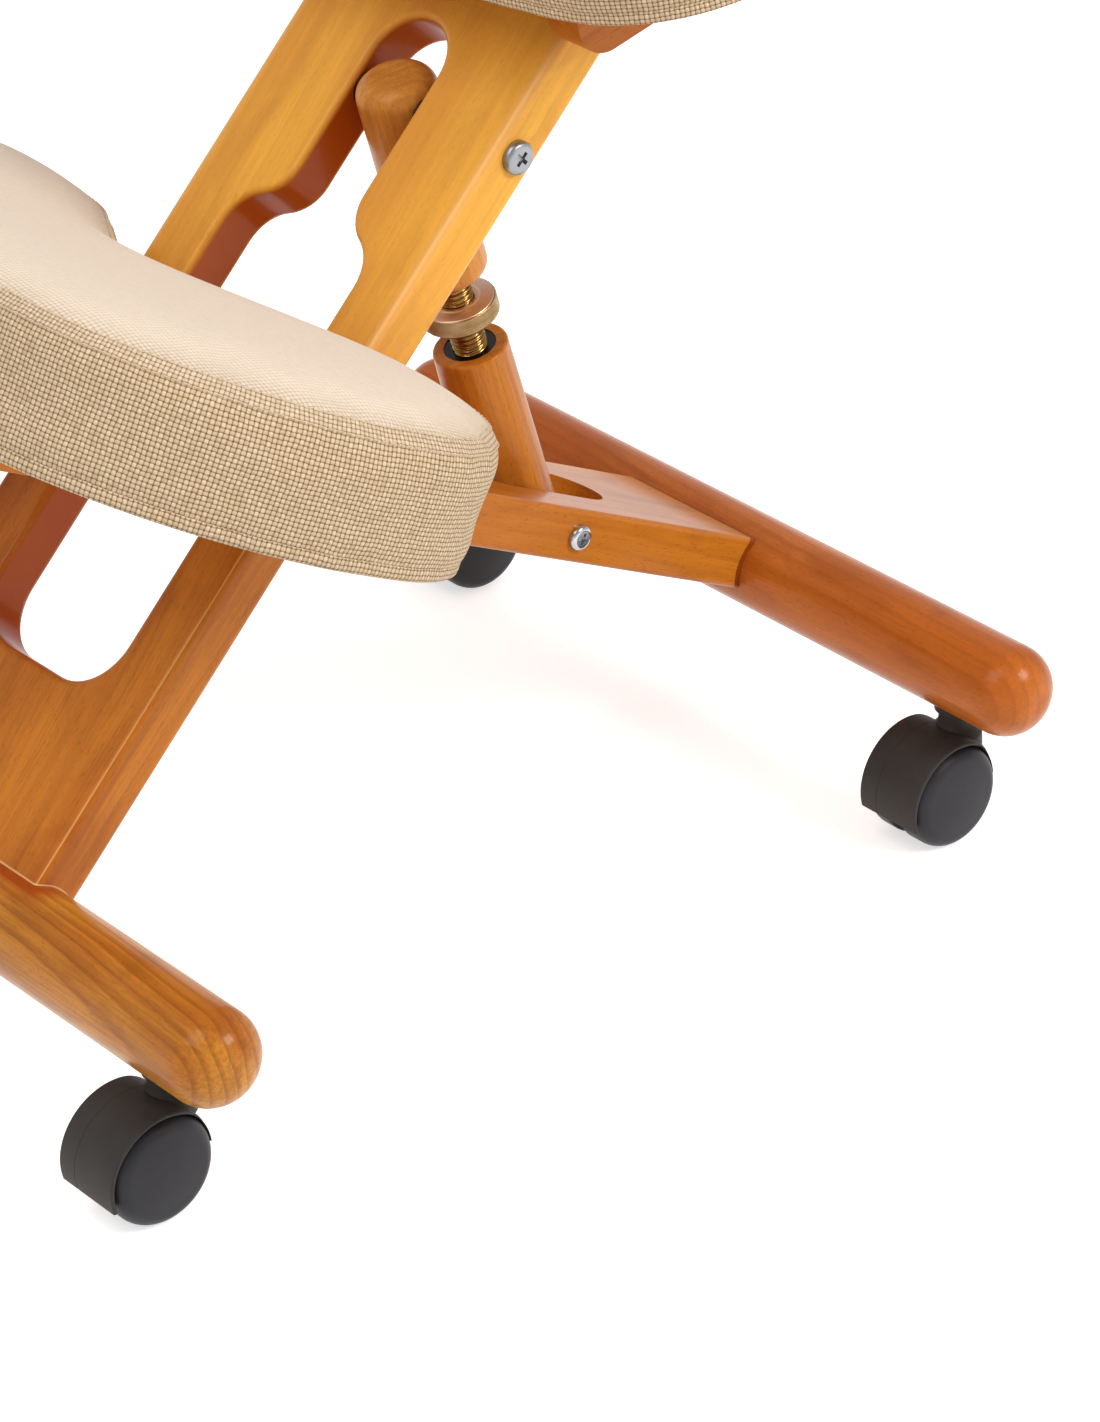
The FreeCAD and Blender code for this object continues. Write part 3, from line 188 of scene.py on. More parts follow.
def stretched(tree, vector, scale, **plugs):
    """Coordinates scaled along each axis, to draw a pattern out or to pack it."""
    return node(tree, "ShaderNodeMapping", {"Vector": vector, "Scale": scale, **plugs}).outputs[0]


def noise(tree, vector, scale, detail, output="Fac", **plugs):
    """Cloudy noise, as a number or a colour."""
    plugs = {"Vector": vector, "Scale": scale, "Detail": detail, **plugs}
    return node(tree, "ShaderNodeTexNoise", plugs).outputs[output]


def hold(shader, **sockets):
    """Sets what is the same all over a surface, on the shader's own sockets."""
    for socket, value in sockets.items():
        shader.inputs[socket.replace("_", " ")].default_value = value


def paint(shader, result, socket="Base Color"):
    """Plugs a colour, or what another socket takes, into a shader."""
    shader.id_data.links.new(result, shader.inputs[socket])


def relieved(tree, shader, height, strength, depth):
    """A fine relief on a surface, depth in metres."""
    bump = node(tree, "ShaderNodeBump", {"Height": height, "Strength": strength, "Distance": depth})
    paint(shader, bump.outputs[0], "Normal")


def blank_finish(name):
    """A new material with its tree, its main shader and its object coordinates."""
    made = bpy.data.materials.new(name)
    made.use_nodes = True
    tree = made.node_tree
    where = node(tree, "ShaderNodeTexCoord").outputs["Object"]
    return made, tree, tree.nodes["Principled BSDF"], where


print("a mid honey tone is", [round(v, 3) for v in tone("c07a35")])

# %% [markdown]
# The stage is a pale floor that fades into a white surround. The camera sees the surround plain
# white; as light on the wood it is a soft grey sky, and in the lacquer's shine it is bright along
# the horizon and dim overhead. The main lamp is a soft box at the right and a little behind, which
# puts a small bright spot on each bar's end.

# %% Floor, surround and lamps
SKY_LIGHT, FLOOR_GLOW, FLOOR_HALF = 0.54, 0.6, 8
world = bpy.data.worlds.new("surround")
scene.world = world
world.use_nodes = True
sky = world.node_tree
path = node(sky, "ShaderNodeLightPath")
direction = node(sky, "ShaderNodeTexCoord").outputs["Generated"]
towards = xyz(sky, direction)["Z"]
rise_share = linear(sky, towards, 2.2, -0.1, clamp=True)
shine = linear(sky, rise_share, -0.58, 1.0)
strength = linear(sky, path.outputs["Is Camera Ray"], 1 - SKY_LIGHT, SKY_LIGHT)
mirrored = path.outputs["Is Glossy Ray"]
strength = node(sky, "ShaderNodeMix", {0: mirrored, 2: strength, 3: shine}).outputs[0]
sky.nodes["Background"].inputs["Color"].default_value = (1, 1, 1, 1)
sky.links.new(strength, sky.nodes["Background"].inputs["Strength"])

floor_mesh = bpy.data.meshes.new("floor")
square = [(x * FLOOR_HALF, y * FLOOR_HALF, 0) for x, y in ((-1, -1), (1, -1), (1, 1), (-1, 1))]
floor_mesh.from_pydata(square, [], [(0, 1, 2, 3)])
floor = added("floor", floor_mesh)
pale, tree, shader, where = blank_finish("pale_floor")
hold(shader, Base_Color=tone("f2f1ef"), Roughness=0.9, Specular_IOR_Level=0.1)
path = node(tree, "ShaderNodeLightPath")
seen = maths(tree, "MAXIMUM", path.outputs["Is Camera Ray"], path.outputs["Is Glossy Ray"])
glow = node(tree, "ShaderNodeEmission", {"Color": (1, 1, 1, 1), "Strength": FLOOR_GLOW})
together = node(tree, "ShaderNodeAddShader", {0: shader.outputs[0], 1: glow.outputs[0]})
chosen = node(tree, "ShaderNodeMixShader", {0: seen, 1: shader.outputs[0], 2: together.outputs[0]})
tree.links.new(chosen.outputs[0], tree.nodes["Material Output"].inputs["Surface"])
floor_mesh.materials.append(pale)


def lamp(name, spot, aim, across, watts):
    """A square soft lamp at a spot, turned towards the point it lights."""
    made = added(name, bpy.data.lights.new(name, "AREA"))
    made.data.size = across
    made.data.energy = watts
    made.location = spot
    made.rotation_euler = (Vector(aim) - Vector(spot)).to_track_quat("-Z", "Y").to_euler()


lamp("overhead_lamp", (0.1, -1.5, 2.3), (0, 0, 0.25), 1.6, 24)
lamp("right_lamp", (2.05, 0.95, 1.85), (0, 0, 0.2), 0.95, 38)

# %% [markdown]
# ## Lacquered wood
# The wood is close-grained and honey coloured under a satin lacquer. Growth rings are shells round
# the tree's middle, so one solid pattern of rings gives long flames on a board's face, straight
# lines on its edge and upright lines on the round bars' ends. Over it lie fine fibres and short
# dark pores, all stretched along the grain, and faint reddish blotches. A Mapping node lays the
# pattern along each piece, a few degrees off its axis.

# %% Lacquered wood
WAVE_TO_RING = 0.314


def lacquered(name, grain_place, pith, light, dark, line, ring_width, ring_depth, fibres=0.3):
    """Wood with its grain along local Y of grain_place; pith is the tree's middle, in mm."""
    made, tree, shader, where = blank_finish(name)
    lie = node(tree, "ShaderNodeMapping", {
        "Vector": where, "Location": grain_place.translation,
        "Rotation": grain_place.to_euler()}, vector_type="TEXTURE").outputs[0]
    slow = stretched(tree, lie, (11, 3.2, 11))
    patch = noise(tree, slow, 1.0, 3, Roughness=0.55)
    sway = noise(tree, slow, 1.0, 3, "Color", Roughness=0.55)
    sway = vectors(tree, "SUBTRACT", sway, (0.5, 0.5, 0.5))
    bent = vectors(tree, "ADD", lie, vectors(tree, "MULTIPLY", sway, (0.018, 0, 0.018)))
    bent = vectors(tree, "SUBTRACT", bent, Vector((pith[0], 0, pith[1])) * MM)
    rings = node(tree, "ShaderNodeTexWave", {
        "Vector": stretched(tree, bent, (1, 0.05, 1)), "Scale": WAVE_TO_RING / (ring_width * MM),
        "Distortion": 1.6, "Detail": 4, "Detail Scale": 0.3
    }, wave_type="RINGS", rings_direction="Y", wave_profile="SAW").outputs["Fac"]
    late = steps(tree, rings, (0.0, 0.0), (0.5, 0.15), (0.9, 1.0), (1.0, 0.1))
    fibre = noise(tree, stretched(tree, bent, (620, 11, 620)), 1.0, 3)
    pore = noise(tree, stretched(tree, bent, (1900, 260, 1900)), 1.0, 1)
    pore = steps(tree, pore, (0.6, 0.0), (0.72, 1.0))
    base = mixed(tree, steps(tree, patch, (0.4, 0.0), (0.6, 1.0)), light, dark)
    near = stretched(tree, lie, (45, 20, 45), Location=(3.1, 1.7, 0.4))
    blotch = noise(tree, near, 1.0, 4, Distortion=0.5)
    base = mixed(tree, steps(tree, blotch, (0.52, 0.0), (0.7, 0.4)), base, line)
    coloured = mixed(tree, both(tree, late, ring_depth), base, line)
    grain = both(tree, steps(tree, fibre, (0.34, 0.0), (0.68, 1.0)), fibres)
    coloured = mixed(tree, grain, coloured, line)
    paint(shader, mixed(tree, both(tree, pore, 0.34), coloured, "6a3210"))
    paint(shader, linear(tree, noise(tree, where, 60, 3), 0.14, 0.36), "Roughness")
    hold(shader, Specular_IOR_Level=0.28, Specular_Tint=tone("ffb878"),
         Coat_Weight=0.4, Coat_Roughness=0.16, Coat_IOR=1.36)
    relieved(tree, shader, linear(tree, pore, -0.6, fibre), 0.1, 0.0002)
    return made


def off_axis(home, angle, axis="Z"):
    """A grain place turned about one of its axes, in degrees."""
    return home @ Matrix.Rotation(math.radians(angle), 4, axis)


ALONG_X = Matrix.Rotation(math.radians(-90), 4, "Z")
UP_THE_POST = off_axis(POST, 90, "X")
woods = {
    "main_board": lacquered("honey_board", off_axis(BOARD, 3), (38, -90),
                            "dc8729", "b9611b", "8a430f", 8.0, 0.22, 0.26),
    "leg_board": lacquered("honey_leg", off_axis(LEG, -2), (-30, 110),
                           "d98629", "c6731f", "984e12", 7.0, 0.2, 0.24),
    "front_base_bar": lacquered("golden_bar", off_axis(FRONT_BAR @ ALONG_X, -4), (-150, 30),
                                "dc9838", "b25d1a", "7e3c0e", 5.6, 0.5, 0.4),
    "rear_base_bar": lacquered("reddish_bar", off_axis(REAR_BAR @ ALONG_X, -2), (170, -20),
                               "d1752a", "b65c20", "8c4212", 7.0, 0.25, 0.22),
    "lower_post": lacquered("honey_post", UP_THE_POST, (60, 20),
                            "cf8028", "ba681e", "8a4410", 6.0, 0.3),
    "upper_post": lacquered("pale_post", UP_THE_POST, (60, 20),
                            "e39a46", "d38a3a", "a05a20", 6.0, 0.25),
    "seat_bearers": lacquered("honey_bearer", SEAT, (60, -60),
                              "d37d1f", "c26b18", "964c10", 6.0, 0.25)}
print("woods for:", list(woods))

# %% [markdown]
# The boards have marks laid by position, most of them painted light and shade. A pale hairline
# runs along the main board's front arris low down and widens into a soft band on the upper rails,
# and a thin painted highlight arc lies where the board meets the round bar. Beside the hairline, on
# the board's edge, a darker band is painted shade, and the joints get painted shade: on the front
# bar below the board and at the leg's end. The rails are painted brighter, from brown to gold, on
# the way up, for the light that reaches the upper rails; the slot's own walls are painted dark as
# shade.

# %% Marks on the boards and in the joints
BOARD_HALF, BOARD_FACE, BAR_RADIUS = 76.0, 12.0, 21.5


def open_again(finish, home):
    """A finished wood's tree, main shader and colour, with X, Y and Z of a place in millimetres."""
    tree = finish.node_tree
    shader = tree.nodes["Principled BSDF"]
    lie = node(tree, "ShaderNodeMapping", {
        "Vector": node(tree, "ShaderNodeTexCoord").outputs["Object"],
        "Location": home.translation, "Rotation": home.to_euler(),
        "Scale": (MM, MM, MM)}, vector_type="TEXTURE").outputs[0]
    return tree, shader, shader.inputs["Base Color"].links[0].from_socket, xyz(tree, lie)


def climb_from(tree, value, start, end):
    """0 at start and 1 at end, with a smooth rise between."""
    return node(tree, "ShaderNodeMapRange", {0: value, 1: start, 2: end},
                interpolation_type="SMOOTHSTEP").outputs[0]


def ridge(tree, position, middle, width):
    """1 on a line and 0 beyond its width."""
    off = maths(tree, "ABSOLUTE", maths(tree, "SUBTRACT", position, middle))
    return maths(tree, "SUBTRACT", 1, maths(tree, "DIVIDE", off, width), clamp=True)


def near_bar(tree, parts, margin):
    """1 within a margin of the round bar's surface."""
    flat = node(tree, "ShaderNodeCombineXYZ", {1: parts["Y"], 2: parts["Z"]}).outputs[0]
    length = node(tree, "ShaderNodeVectorMath", {0: flat}, operation="LENGTH").outputs["Value"]
    return maths(tree, "LESS_THAN", length, BAR_RADIUS + margin)


tree, shader, below, parts = open_again(woods["main_board"], BOARD)
# Painted light: upward rises from 0 low on the board to 1 on the upper rails, and the colour is
# brightened to gold along it.
upward = climb_from(tree, parts["Y"], 170.0, 330.0)
from_middle = maths(tree, "ABSOLUTE", parts["X"])
# outside is 1 on the board's faces and outer edges and 0 on the slot's walls, which get the dark
# ae4c0a as painted shade.
outside = maths(tree, "MAXIMUM",
                climb_from(tree, maths(tree, "ABSOLUTE", parts["Z"]), BOARD_FACE - 4, BOARD_FACE),
                climb_from(tree, from_middle, BOARD_HALF - 3, BOARD_HALF))
painted_light_gain = mixed(tree, upward, (1, 1, 1, 1), (1.5, 2.25, 2.6, 1))
golden = mixed(tree, 1.0, below, painted_light_gain, "MULTIPLY")
golden = mixed(tree, both(tree, upward, 0.45), golden, "f4b04a")
below = mixed(tree, outside, "ae4c0a", golden)
across = maths(tree, "SUBTRACT", maths(tree, "SUBTRACT", from_middle, BOARD_HALF),
               maths(tree, "SUBTRACT", parts["Z"], BOARD_FACE))
hairline = ridge(tree, across, -1.2, linear(tree, upward, 4.2, 0.7))
# Painted shade: a darker band on the board's edge beside the arris, fading up the board.
painted_shade = both(tree, ridge(tree, across, 4.5, 3.5), without(tree, upward))
coloured = mixed(tree, both(tree, painted_shade, 0.5), below, "9c4a0a")
coloured = mixed(tree, both(tree, hairline, 0.62), coloured, "f5c07e")
# Painted highlight: a thin pale arc where the board meets the round bar.
paint(shader, mixed(tree, both(tree, near_bar(tree, parts, 0.8), 0.7), coloured, "f3bf83"))

tree, shader, below, parts = open_again(woods["front_base_bar"], BOARD)
from_middle = maths(tree, "ABSOLUTE", parts["X"])
beside = without(tree, climb_from(tree, from_middle, BOARD_HALF, BOARD_HALF + 16))
near_joint = without(tree, climb_from(tree, parts["Z"], 14.0, 21.3))
# Painted shade on the front bar just below the board's joint.
painted_shade = both(tree, both(tree, beside, near_joint), climb_from(tree, parts["Y"], 0.0, 8.0))
paint(shader, mixed(tree, both(tree, painted_shade, 0.9), below, "9a3602"))

tree, shader, below, parts = open_again(woods["leg_board"], LEG)
# Painted shade: a dark line at the leg's end where it sits on the rear bar.
paint(shader, mixed(tree, both(tree, near_bar(tree, parts, 3), 0.85), below, "7e2c06"))
print("board tree has", len(woods["main_board"].node_tree.nodes), "nodes")

# %% Wood on the boards, bars and posts


def dress(finish, *nodes):
    """Gives a finish to pieces that come from the frame."""
    for title in nodes:
        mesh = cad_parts[title].data
        mesh.materials.clear()
        mesh.materials.append(finish)


for title, finish in woods.items():
    dress(finish, title)
print("dressed in wood:", sum(len(n.data.materials) > 0 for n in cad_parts.values()))

# %% [markdown]
# The boards under the cushions are birch plywood, left raw. Only their undersides show: a pale
# veneer with a faint broad figure.

# %% Plywood
plywood, tree, shader, where = blank_finish("birch_plywood")
figure = noise(tree, stretched(tree, where, (14, 160, 14)), 1.0, 4, Distortion=0.6)
paint(shader, mixed(tree, steps(tree, figure, (0.3, 0.0), (0.7, 1.0)), "dfc39a", "c9a576"))
hold(shader, Roughness=0.75)
relieved(tree, shader, figure, 0.1, 0.0003)
dress(plywood, "seat_base_board", "knee_base_board")
print("plywood tree has", len(tree.nodes), "nodes")

# %% [markdown]
# ## Metals and plastics
# The adjusting screw and its wheel are steel with a yellow passivated zinc coat, which shifts
# between gold and a pale rose. Bolts, washers and sleeves are plain zinc, the post's pivot screws
# bright chrome, the upper post's insert brass, and casters, bush and bar sockets moulded plastic
# with a fine eroded grain.

# %% Metal finishes


def metal(name, first, second, rough, patch_size=30.0, bump_depth=0.00003):
    """A plated metal that drifts between two tones."""
    made, tree, shader, where = blank_finish(name)
    share = steps(tree, noise(tree, where, 1 / (patch_size * MM), 3), (0.35, 0.0), (0.65, 1.0))
    paint(shader, mixed(tree, share, first, second))
    hold(shader, Metallic=1.0)
    fine = noise(tree, where, 900, 2)
    paint(shader, linear(tree, fine, 0.16, rough - 0.08), "Roughness")
    relieved(tree, shader, fine, 0.25, bump_depth)
    return made


gold_zinc = metal("yellow_zinc", "f8e0c0", "f0cdba", 0.38, 9, 0.00001)
knurl_zinc = metal("knurled_zinc", "af9875", "9c7e52", 0.32, 7)
thread_gold = metal("thread_zinc", "b48f55", "94703f", 0.22, 12)
brass = metal("brass", "cfaa58", "bd9446", 0.3)
zinc = metal("plain_zinc", "a9abad", "989a9d", 0.36)
chrome = metal("bright_chrome", "c9cbd0", "b9bcc2", 0.14)
dress(brass, "upper_post_insert")
dress(zinc, "front_bar_bolts", "front_barrel_nuts", "rear_bar_bolts", "rear_barrel_nuts",
      "pivot_washers", "upper_post_bolt", "upper_post_bolt_nut", "bearer_bolts",
      "main_pivot_bolt", "main_pivot_nut", "seat_board_screws", "knee_board_screws",
      "pivot_sleeve", "lower_post_sleeve", "upper_post_sleeve")
dress(chrome, "post_pivot_screws")
print("materials so far:", len(bpy.data.materials))

# %% Plastic finishes


def moulded(name, first, second, rough, shine=0.24):
    """Moulded plastic with a fine eroded grain."""
    made, tree, shader, where = blank_finish(name)
    scuff = noise(tree, where, 45, 4)
    share = steps(tree, scuff, (0.35, 0.0), (0.7, 1.0))
    paint(shader, mixed(tree, share, first, second))
    paint(shader, linear(tree, scuff, 0.2, rough - 0.1), "Roughness")
    hold(shader, Specular_IOR_Level=shine)
    relieved(tree, shader, noise(tree, where, 1400, 2), 0.35, 0.00008)
    return made


charcoal = moulded("charcoal_wheel", "2c2b2f", "343337", 0.42, 0.2)
soot = moulded("black_hood", "332f2d", "3d3835", 0.55)
glossy = moulded("black_bush", "120d08", "1a130c", 0.2, 0.5)
dress(glossy, "lower_post_bush", "upper_post_spacers")
dress(soot, "front_caster_sockets", "rear_caster_sockets")
CORNERS = {"front_left": (-166, FRONT_Y), "front_right": (166, FRONT_Y),
           "rear_left": (-166, REAR_Y), "rear_right": (166, REAR_Y)}
for corner in CORNERS:
    dress(zinc, f"{corner}_caster_stem", f"{corner}_caster_axle")
print("materials with the plastics:", len(bpy.data.materials))

# %% [markdown]
# ## Casters
# Each caster is a hood over two wheels. The hood's wall is one rounded section carried round the
# axle, from low at the back to just above the axle in front, with the fine parting line of its
# mould. Each wheel is a turned shape: a tread, a rounded shoulder and a gently domed face. Both
# come from one helper that carries a section round the crosswise axis.

# %% A section carried round an axis


def as_mesh(piece):
    """A piece's mesh with its modifiers applied."""
    graph = bpy.context.evaluated_depsgraph_get()
    return bpy.data.meshes.new_from_object(piece.evaluated_get(graph))


def set_down(name, mesh, body, where, crease=180):
    """A piece in place on its body, shaded smooth but for its creases."""
    mesh.transform(where)
    mesh.shade_smooth()
    if crease < 180:
        mesh.set_sharp_from_angle(angle=math.radians(crease))
    piece = added(name, mesh)
    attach(piece, body)
    return piece


def join_up(name, verts, faces, body, finish, where=Matrix(), crease=35):
    """A closed mesh, its doubles merged and its faces outwards, set down as a piece."""
    shape = bmesh.new()
    made = [shape.verts.new(Vector(v) * MM) for v in verts]
    for face in faces:
        shape.faces.new([made[i] for i in face])
    bmesh.ops.remove_doubles(shape, verts=shape.verts, dist=1e-6)
    bmesh.ops.dissolve_degenerate(shape, edges=shape.edges, dist=1e-6)
    bmesh.ops.recalc_face_normals(shape, faces=shape.faces)
    mesh = bpy.data.meshes.new(name)
    shape.to_mesh(mesh)
    shape.free()
    mesh.materials.append(finish)
    return set_down(name, mesh, body, where, crease)


def carried(section, start=0.0, end=360.0, count=96, bend=None):
    """Points and faces of a closed section of (along, away) points, carried round the X axis."""
    whole = abs(end - start) >= 360
    stations = count if whole else count + 1
    verts = []
    for i in range(stations):
        angle = start + (end - start) * i / count
        out_y, out_z = math.cos(math.radians(angle)), math.sin(math.radians(angle))
        for along, away in section:
            along, away = bend(angle, along, away) if bend else (along, away)
            verts.append((along, away * out_y, away * out_z))
    size = len(section)
    faces = []
    for i in range(count):
        near, far = i * size, ((i + 1) % stations) * size
        faces += [(near + j, near + (j + 1) % size, far + (j + 1) % size, far + j)
                  for j in range(size)]
    if not whole:
        faces += [tuple(range(size)), tuple(range(count * size, count * size + size))]
    return verts, faces


def arc(along, away, radius, start, end, count=5):
    """Points of a small arc inside a section."""
    turns = [math.radians(start + (end - start) * i / count) for i in range(count + 1)]
    return [(along + radius * math.cos(t), away + radius * math.sin(t)) for t in turns]


print("a ring of 96 stations has", len(carried([(0, 1), (1, 1), (1, 2)])[1]), "faces")

# %% Wheels
WHEEL_INNER, WHEEL_OUTER, TREAD, AXLE_BORE, AXLE_BACK = 3.8, 17.8, 25.0, 3.05, 14.5
inner_line = ((0, AXLE_BORE), (0, 8.5), (1.6, 9), (1.6, 20), (0, 20.6), (0, 24.4), (0.6, TREAD))
face_line = ((1.3, 18.2), (1.9, 14.5), (2.4, 10.5), (2.75, 6),
             (2.9, 2), (2.9, 0), (-2, 0), (-2, AXLE_BORE))
wheel_section = ([(WHEEL_INNER + out, away) for out, away in inner_line]
                 + arc(WHEEL_OUTER - 6.0, TREAD - 7.4, 7.4, 90, 16, 9)
                 + [(WHEEL_OUTER + out, away) for out, away in face_line])
for corner, (x, y) in CORNERS.items():
    axle = place(y - AXLE_BACK, TREAD, 0, x)
    for hand, side in (("left", -1), ("right", 1)):
        verts, faces = carried([(side * along, away) for along, away in wheel_section], count=112)
        title = f"{corner}_{hand}_wheel"
        wheel = join_up(title, verts, faces, title, charcoal, axle, 40)
        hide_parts(f"{corner}_caster_{hand}_wheel")
print("wheel faces:", len(wheel.data.polygons))

# %% Hoods
HALF, OUTER, INNER, PARTING, ROUND = 17.8, 28.0, 26.0, -7.2, 0.9
flank, high, low = HALF - ROUND, OUTER - ROUND, INNER + ROUND
hood_section = ([(PARTING - 0.2, OUTER), (PARTING, OUTER - 0.2), (PARTING + 0.2, OUTER)]
                + arc(flank, high, ROUND, 90, 0) + arc(flank, low, ROUND, 0, -90)
                + arc(-flank, low, ROUND, -90, -180) + arc(-flank, high, ROUND, 180, 90))


def smooth_share(values, start, end):
    """0 before start, 1 after end and a smooth rise between."""
    share = np.clip((values - start) / (end - start), 0, 1)
    return share * share * (3 - 2 * share)


def thinned(angle, along, away):
    """Draws the hood's wall in and thins it towards its low front end."""
    share = smooth_share(78 - angle, 0, 52)
    inner, outer = INNER - 0.65 * share, OUTER - 2.1 * share
    return along * (1 - 0.2 * share), inner + (away - INNER) * (outer - inner) / (OUTER - INNER)


WEB_HALF, WEB_RADIUS, BOSS = 3.5, 25.9, 8
web_line = arc(0, 0, WEB_RADIUS, 6, 192, 31)
size = len(web_line)
web = ([(side * WEB_HALF, y, z) for side in (-1, 1) for y, z in web_line],
       [tuple(range(size)), tuple(range(size, 2 * size))]
       + [(i, (i + 1) % size, size + (i + 1) % size, size + i) for i in range(size)])
boss_section = [(-WEB_HALF, AXLE_BORE), (-WEB_HALF, BOSS), (0.5 - WEB_HALF, BOSS + 0.5),
                (WEB_HALF - 0.5, BOSS + 0.5), (WEB_HALF, BOSS), (WEB_HALF, AXLE_BORE)]
neck_section = ([(42, 0), (42, 12.5), (48.4, 12.2), (50.4, 10.8), (51.9, 9.4), (53.3, 8.5)]
                + [(55, 8.0)] + arc(58.9, 7.2, 0.8, 90, 0)
                + [(59.7, 5.05), (52.7, 5.05), (52.7, 0)])
for corner, (x, y) in CORNERS.items():
    axle = place(y - AXLE_BACK, TREAD, 0, x)
    verts, faces = carried(hood_section, 6, 197, 72, thinned)
    hood = join_up(f"{corner}_hood", verts, faces, f"{corner}_caster", soot, axle, 40)
    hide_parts(f"{corner}_caster_hood")
    upright = off_axis(place(y, 0, 0, x), -90, "Y")
    for title, shape, where, crease in (
            ("hood_web", web, axle, 35), ("axle_boss", carried(boss_section, count=48), axle, 35),
            ("neck", carried(neck_section, count=48), upright, 30)):
        part = join_up(f"{corner}_{title}", *shape, f"{corner}_caster", soot, where, crease)
print("hood faces:", len(hood.data.polygons))

# %% [markdown]
# ## Repeats with Geometry Nodes
# A thread, a knurl and a row of stitches each follow a rule, so each is a small tree of geometry
# nodes with its sizes as named inputs. The result becomes a plain mesh that rides on its body.

# %% A recipe and what grows from it


def recipe(name, **sizes):
    """An empty geometry tree with named sizes; returns it with its inputs and its output node."""
    tree = bpy.data.node_groups.new(name, "GeometryNodeTree")
    tree.interface.new_socket("Geometry", in_out="INPUT", socket_type="NodeSocketGeometry")
    for title, value in sizes.items():
        made = tree.interface.new_socket(title, in_out="INPUT", socket_type="NodeSocketFloat")
        made.default_value = value
    tree.interface.new_socket("Geometry", in_out="OUTPUT", socket_type="NodeSocketGeometry")
    return tree, node(tree, "NodeGroupInput").outputs, node(tree, "NodeGroupOutput")


def close_recipe(tree, shape, finish, end):
    """Ends a recipe with real geometry and its finish."""
    real = node(tree, "GeometryNodeRealizeInstances", {0: shape}).outputs[0]
    done = node(tree, "GeometryNodeSetMaterial", {"Geometry": real, "Material": finish}).outputs[0]
    tree.links.new(done, end.inputs[0])


def grown(name, tree, body, where=Matrix(), base=None, crease=35, **sizes):
    """Runs a recipe on a base mesh and keeps the result as a plain piece on a body."""
    carrier = added("carrier", base or bpy.data.meshes.new("carrier"))
    modifier = carrier.modifiers.new(name, "NODES")
    modifier.node_group = tree
    for item in tree.interface.items_tree:
        if item.in_out == "INPUT" and item.name in sizes:
            modifier[item.identifier] = sizes[item.name]
    mesh = as_mesh(carrier)
    bpy.data.objects.remove(carrier)
    mesh.name = name
    return set_down(name, mesh, body, where, crease)


def cylinder(tree, sides, levels, radius, length):
    """A cylinder, its points, their share of a turn round Z and their height."""
    blank = node(tree, "GeometryNodeMeshCylinder", {
        "Vertices": sides, "Side Segments": levels, "Radius": radius, "Depth": length}).outputs[0]
    spot = node(tree, "GeometryNodeInputPosition").outputs[0]
    parts = xyz(tree, spot)
    turned = maths(tree, "ARCTAN2", parts["Y"], parts["X"])
    return blank, spot, maths(tree, "DIVIDE", turned, 2 * math.pi), parts["Z"]


def drawn_in(tree, blank, spot, depth, radius):
    """The cylinder with its points drawn towards the axis by a depth."""
    shrink = without(tree, maths(tree, "DIVIDE", depth, radius))
    factor = node(tree, "ShaderNodeCombineXYZ", {0: shrink, 1: shrink, 2: 1.0}).outputs[0]
    moved = vectors(tree, "MULTIPLY", spot, factor)
    return node(tree, "GeometryNodeSetPosition", {"Geometry": blank, "Position": moved}).outputs[0]


print("geometry recipes so far:", len(bpy.data.node_groups))

# %% [markdown]
# The screw's thread is a cylinder whose points are pushed in and out by a zigzag that climbs one
# pitch in each turn. Close to its two ends the radius is held down, which gives the lead-in
# chamfer.

# %% Threaded rod
ROD_MIDDLE, WHEEL_FOOT, RIM_HEIGHT = 112, 107, 9.4
thread, sizes, end = recipe("thread", Radius=0.008, Length=0.148, Pitch=0.0025,
                            Depth=0.0012, Lead=0.0014)
sums, product = partial(maths, thread), partial(both, thread)
blank, spot, share, height = cylinder(thread, 40, 592, sizes["Radius"], sizes["Length"])
phase = sums("SUBTRACT", sums("DIVIDE", height, sizes["Pitch"]), share)
zigzag = product(sums("PINGPONG", phase, 0.5), 2)
crest = sums("MULTIPLY_ADD", zigzag, 1.5, -0.25, clamp=True)
pushed = product(sums("SUBTRACT", 1, crest), sizes["Depth"])
half = product(sizes["Length"], 0.5)
to_end = sums("SUBTRACT", half, sums("ABSOLUTE", height))
lead_in = sums("MAXIMUM", sums("SUBTRACT", sizes["Lead"], to_end), 0)
pushed = sums("MAXIMUM", pushed, lead_in)
close_recipe(thread, drawn_in(thread, blank, spot, pushed, sizes["Radius"]), thread_gold, end)
rod_piece = grown("screw_thread", thread, "spindle", POST @ place(0, ROD_MIDDLE), crease=60)
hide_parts("threaded_rod")
print("thread faces:", len(rod_piece.data.polygons))

# %% [markdown]
# The adjuster is a flat wheel with a knurled rim, a polished face and a low collar round the screw.
# The knurl is two sets of slanting grooves that cross, and the lower of the two shapes wins at each
# point, which leaves rows of little pyramids.

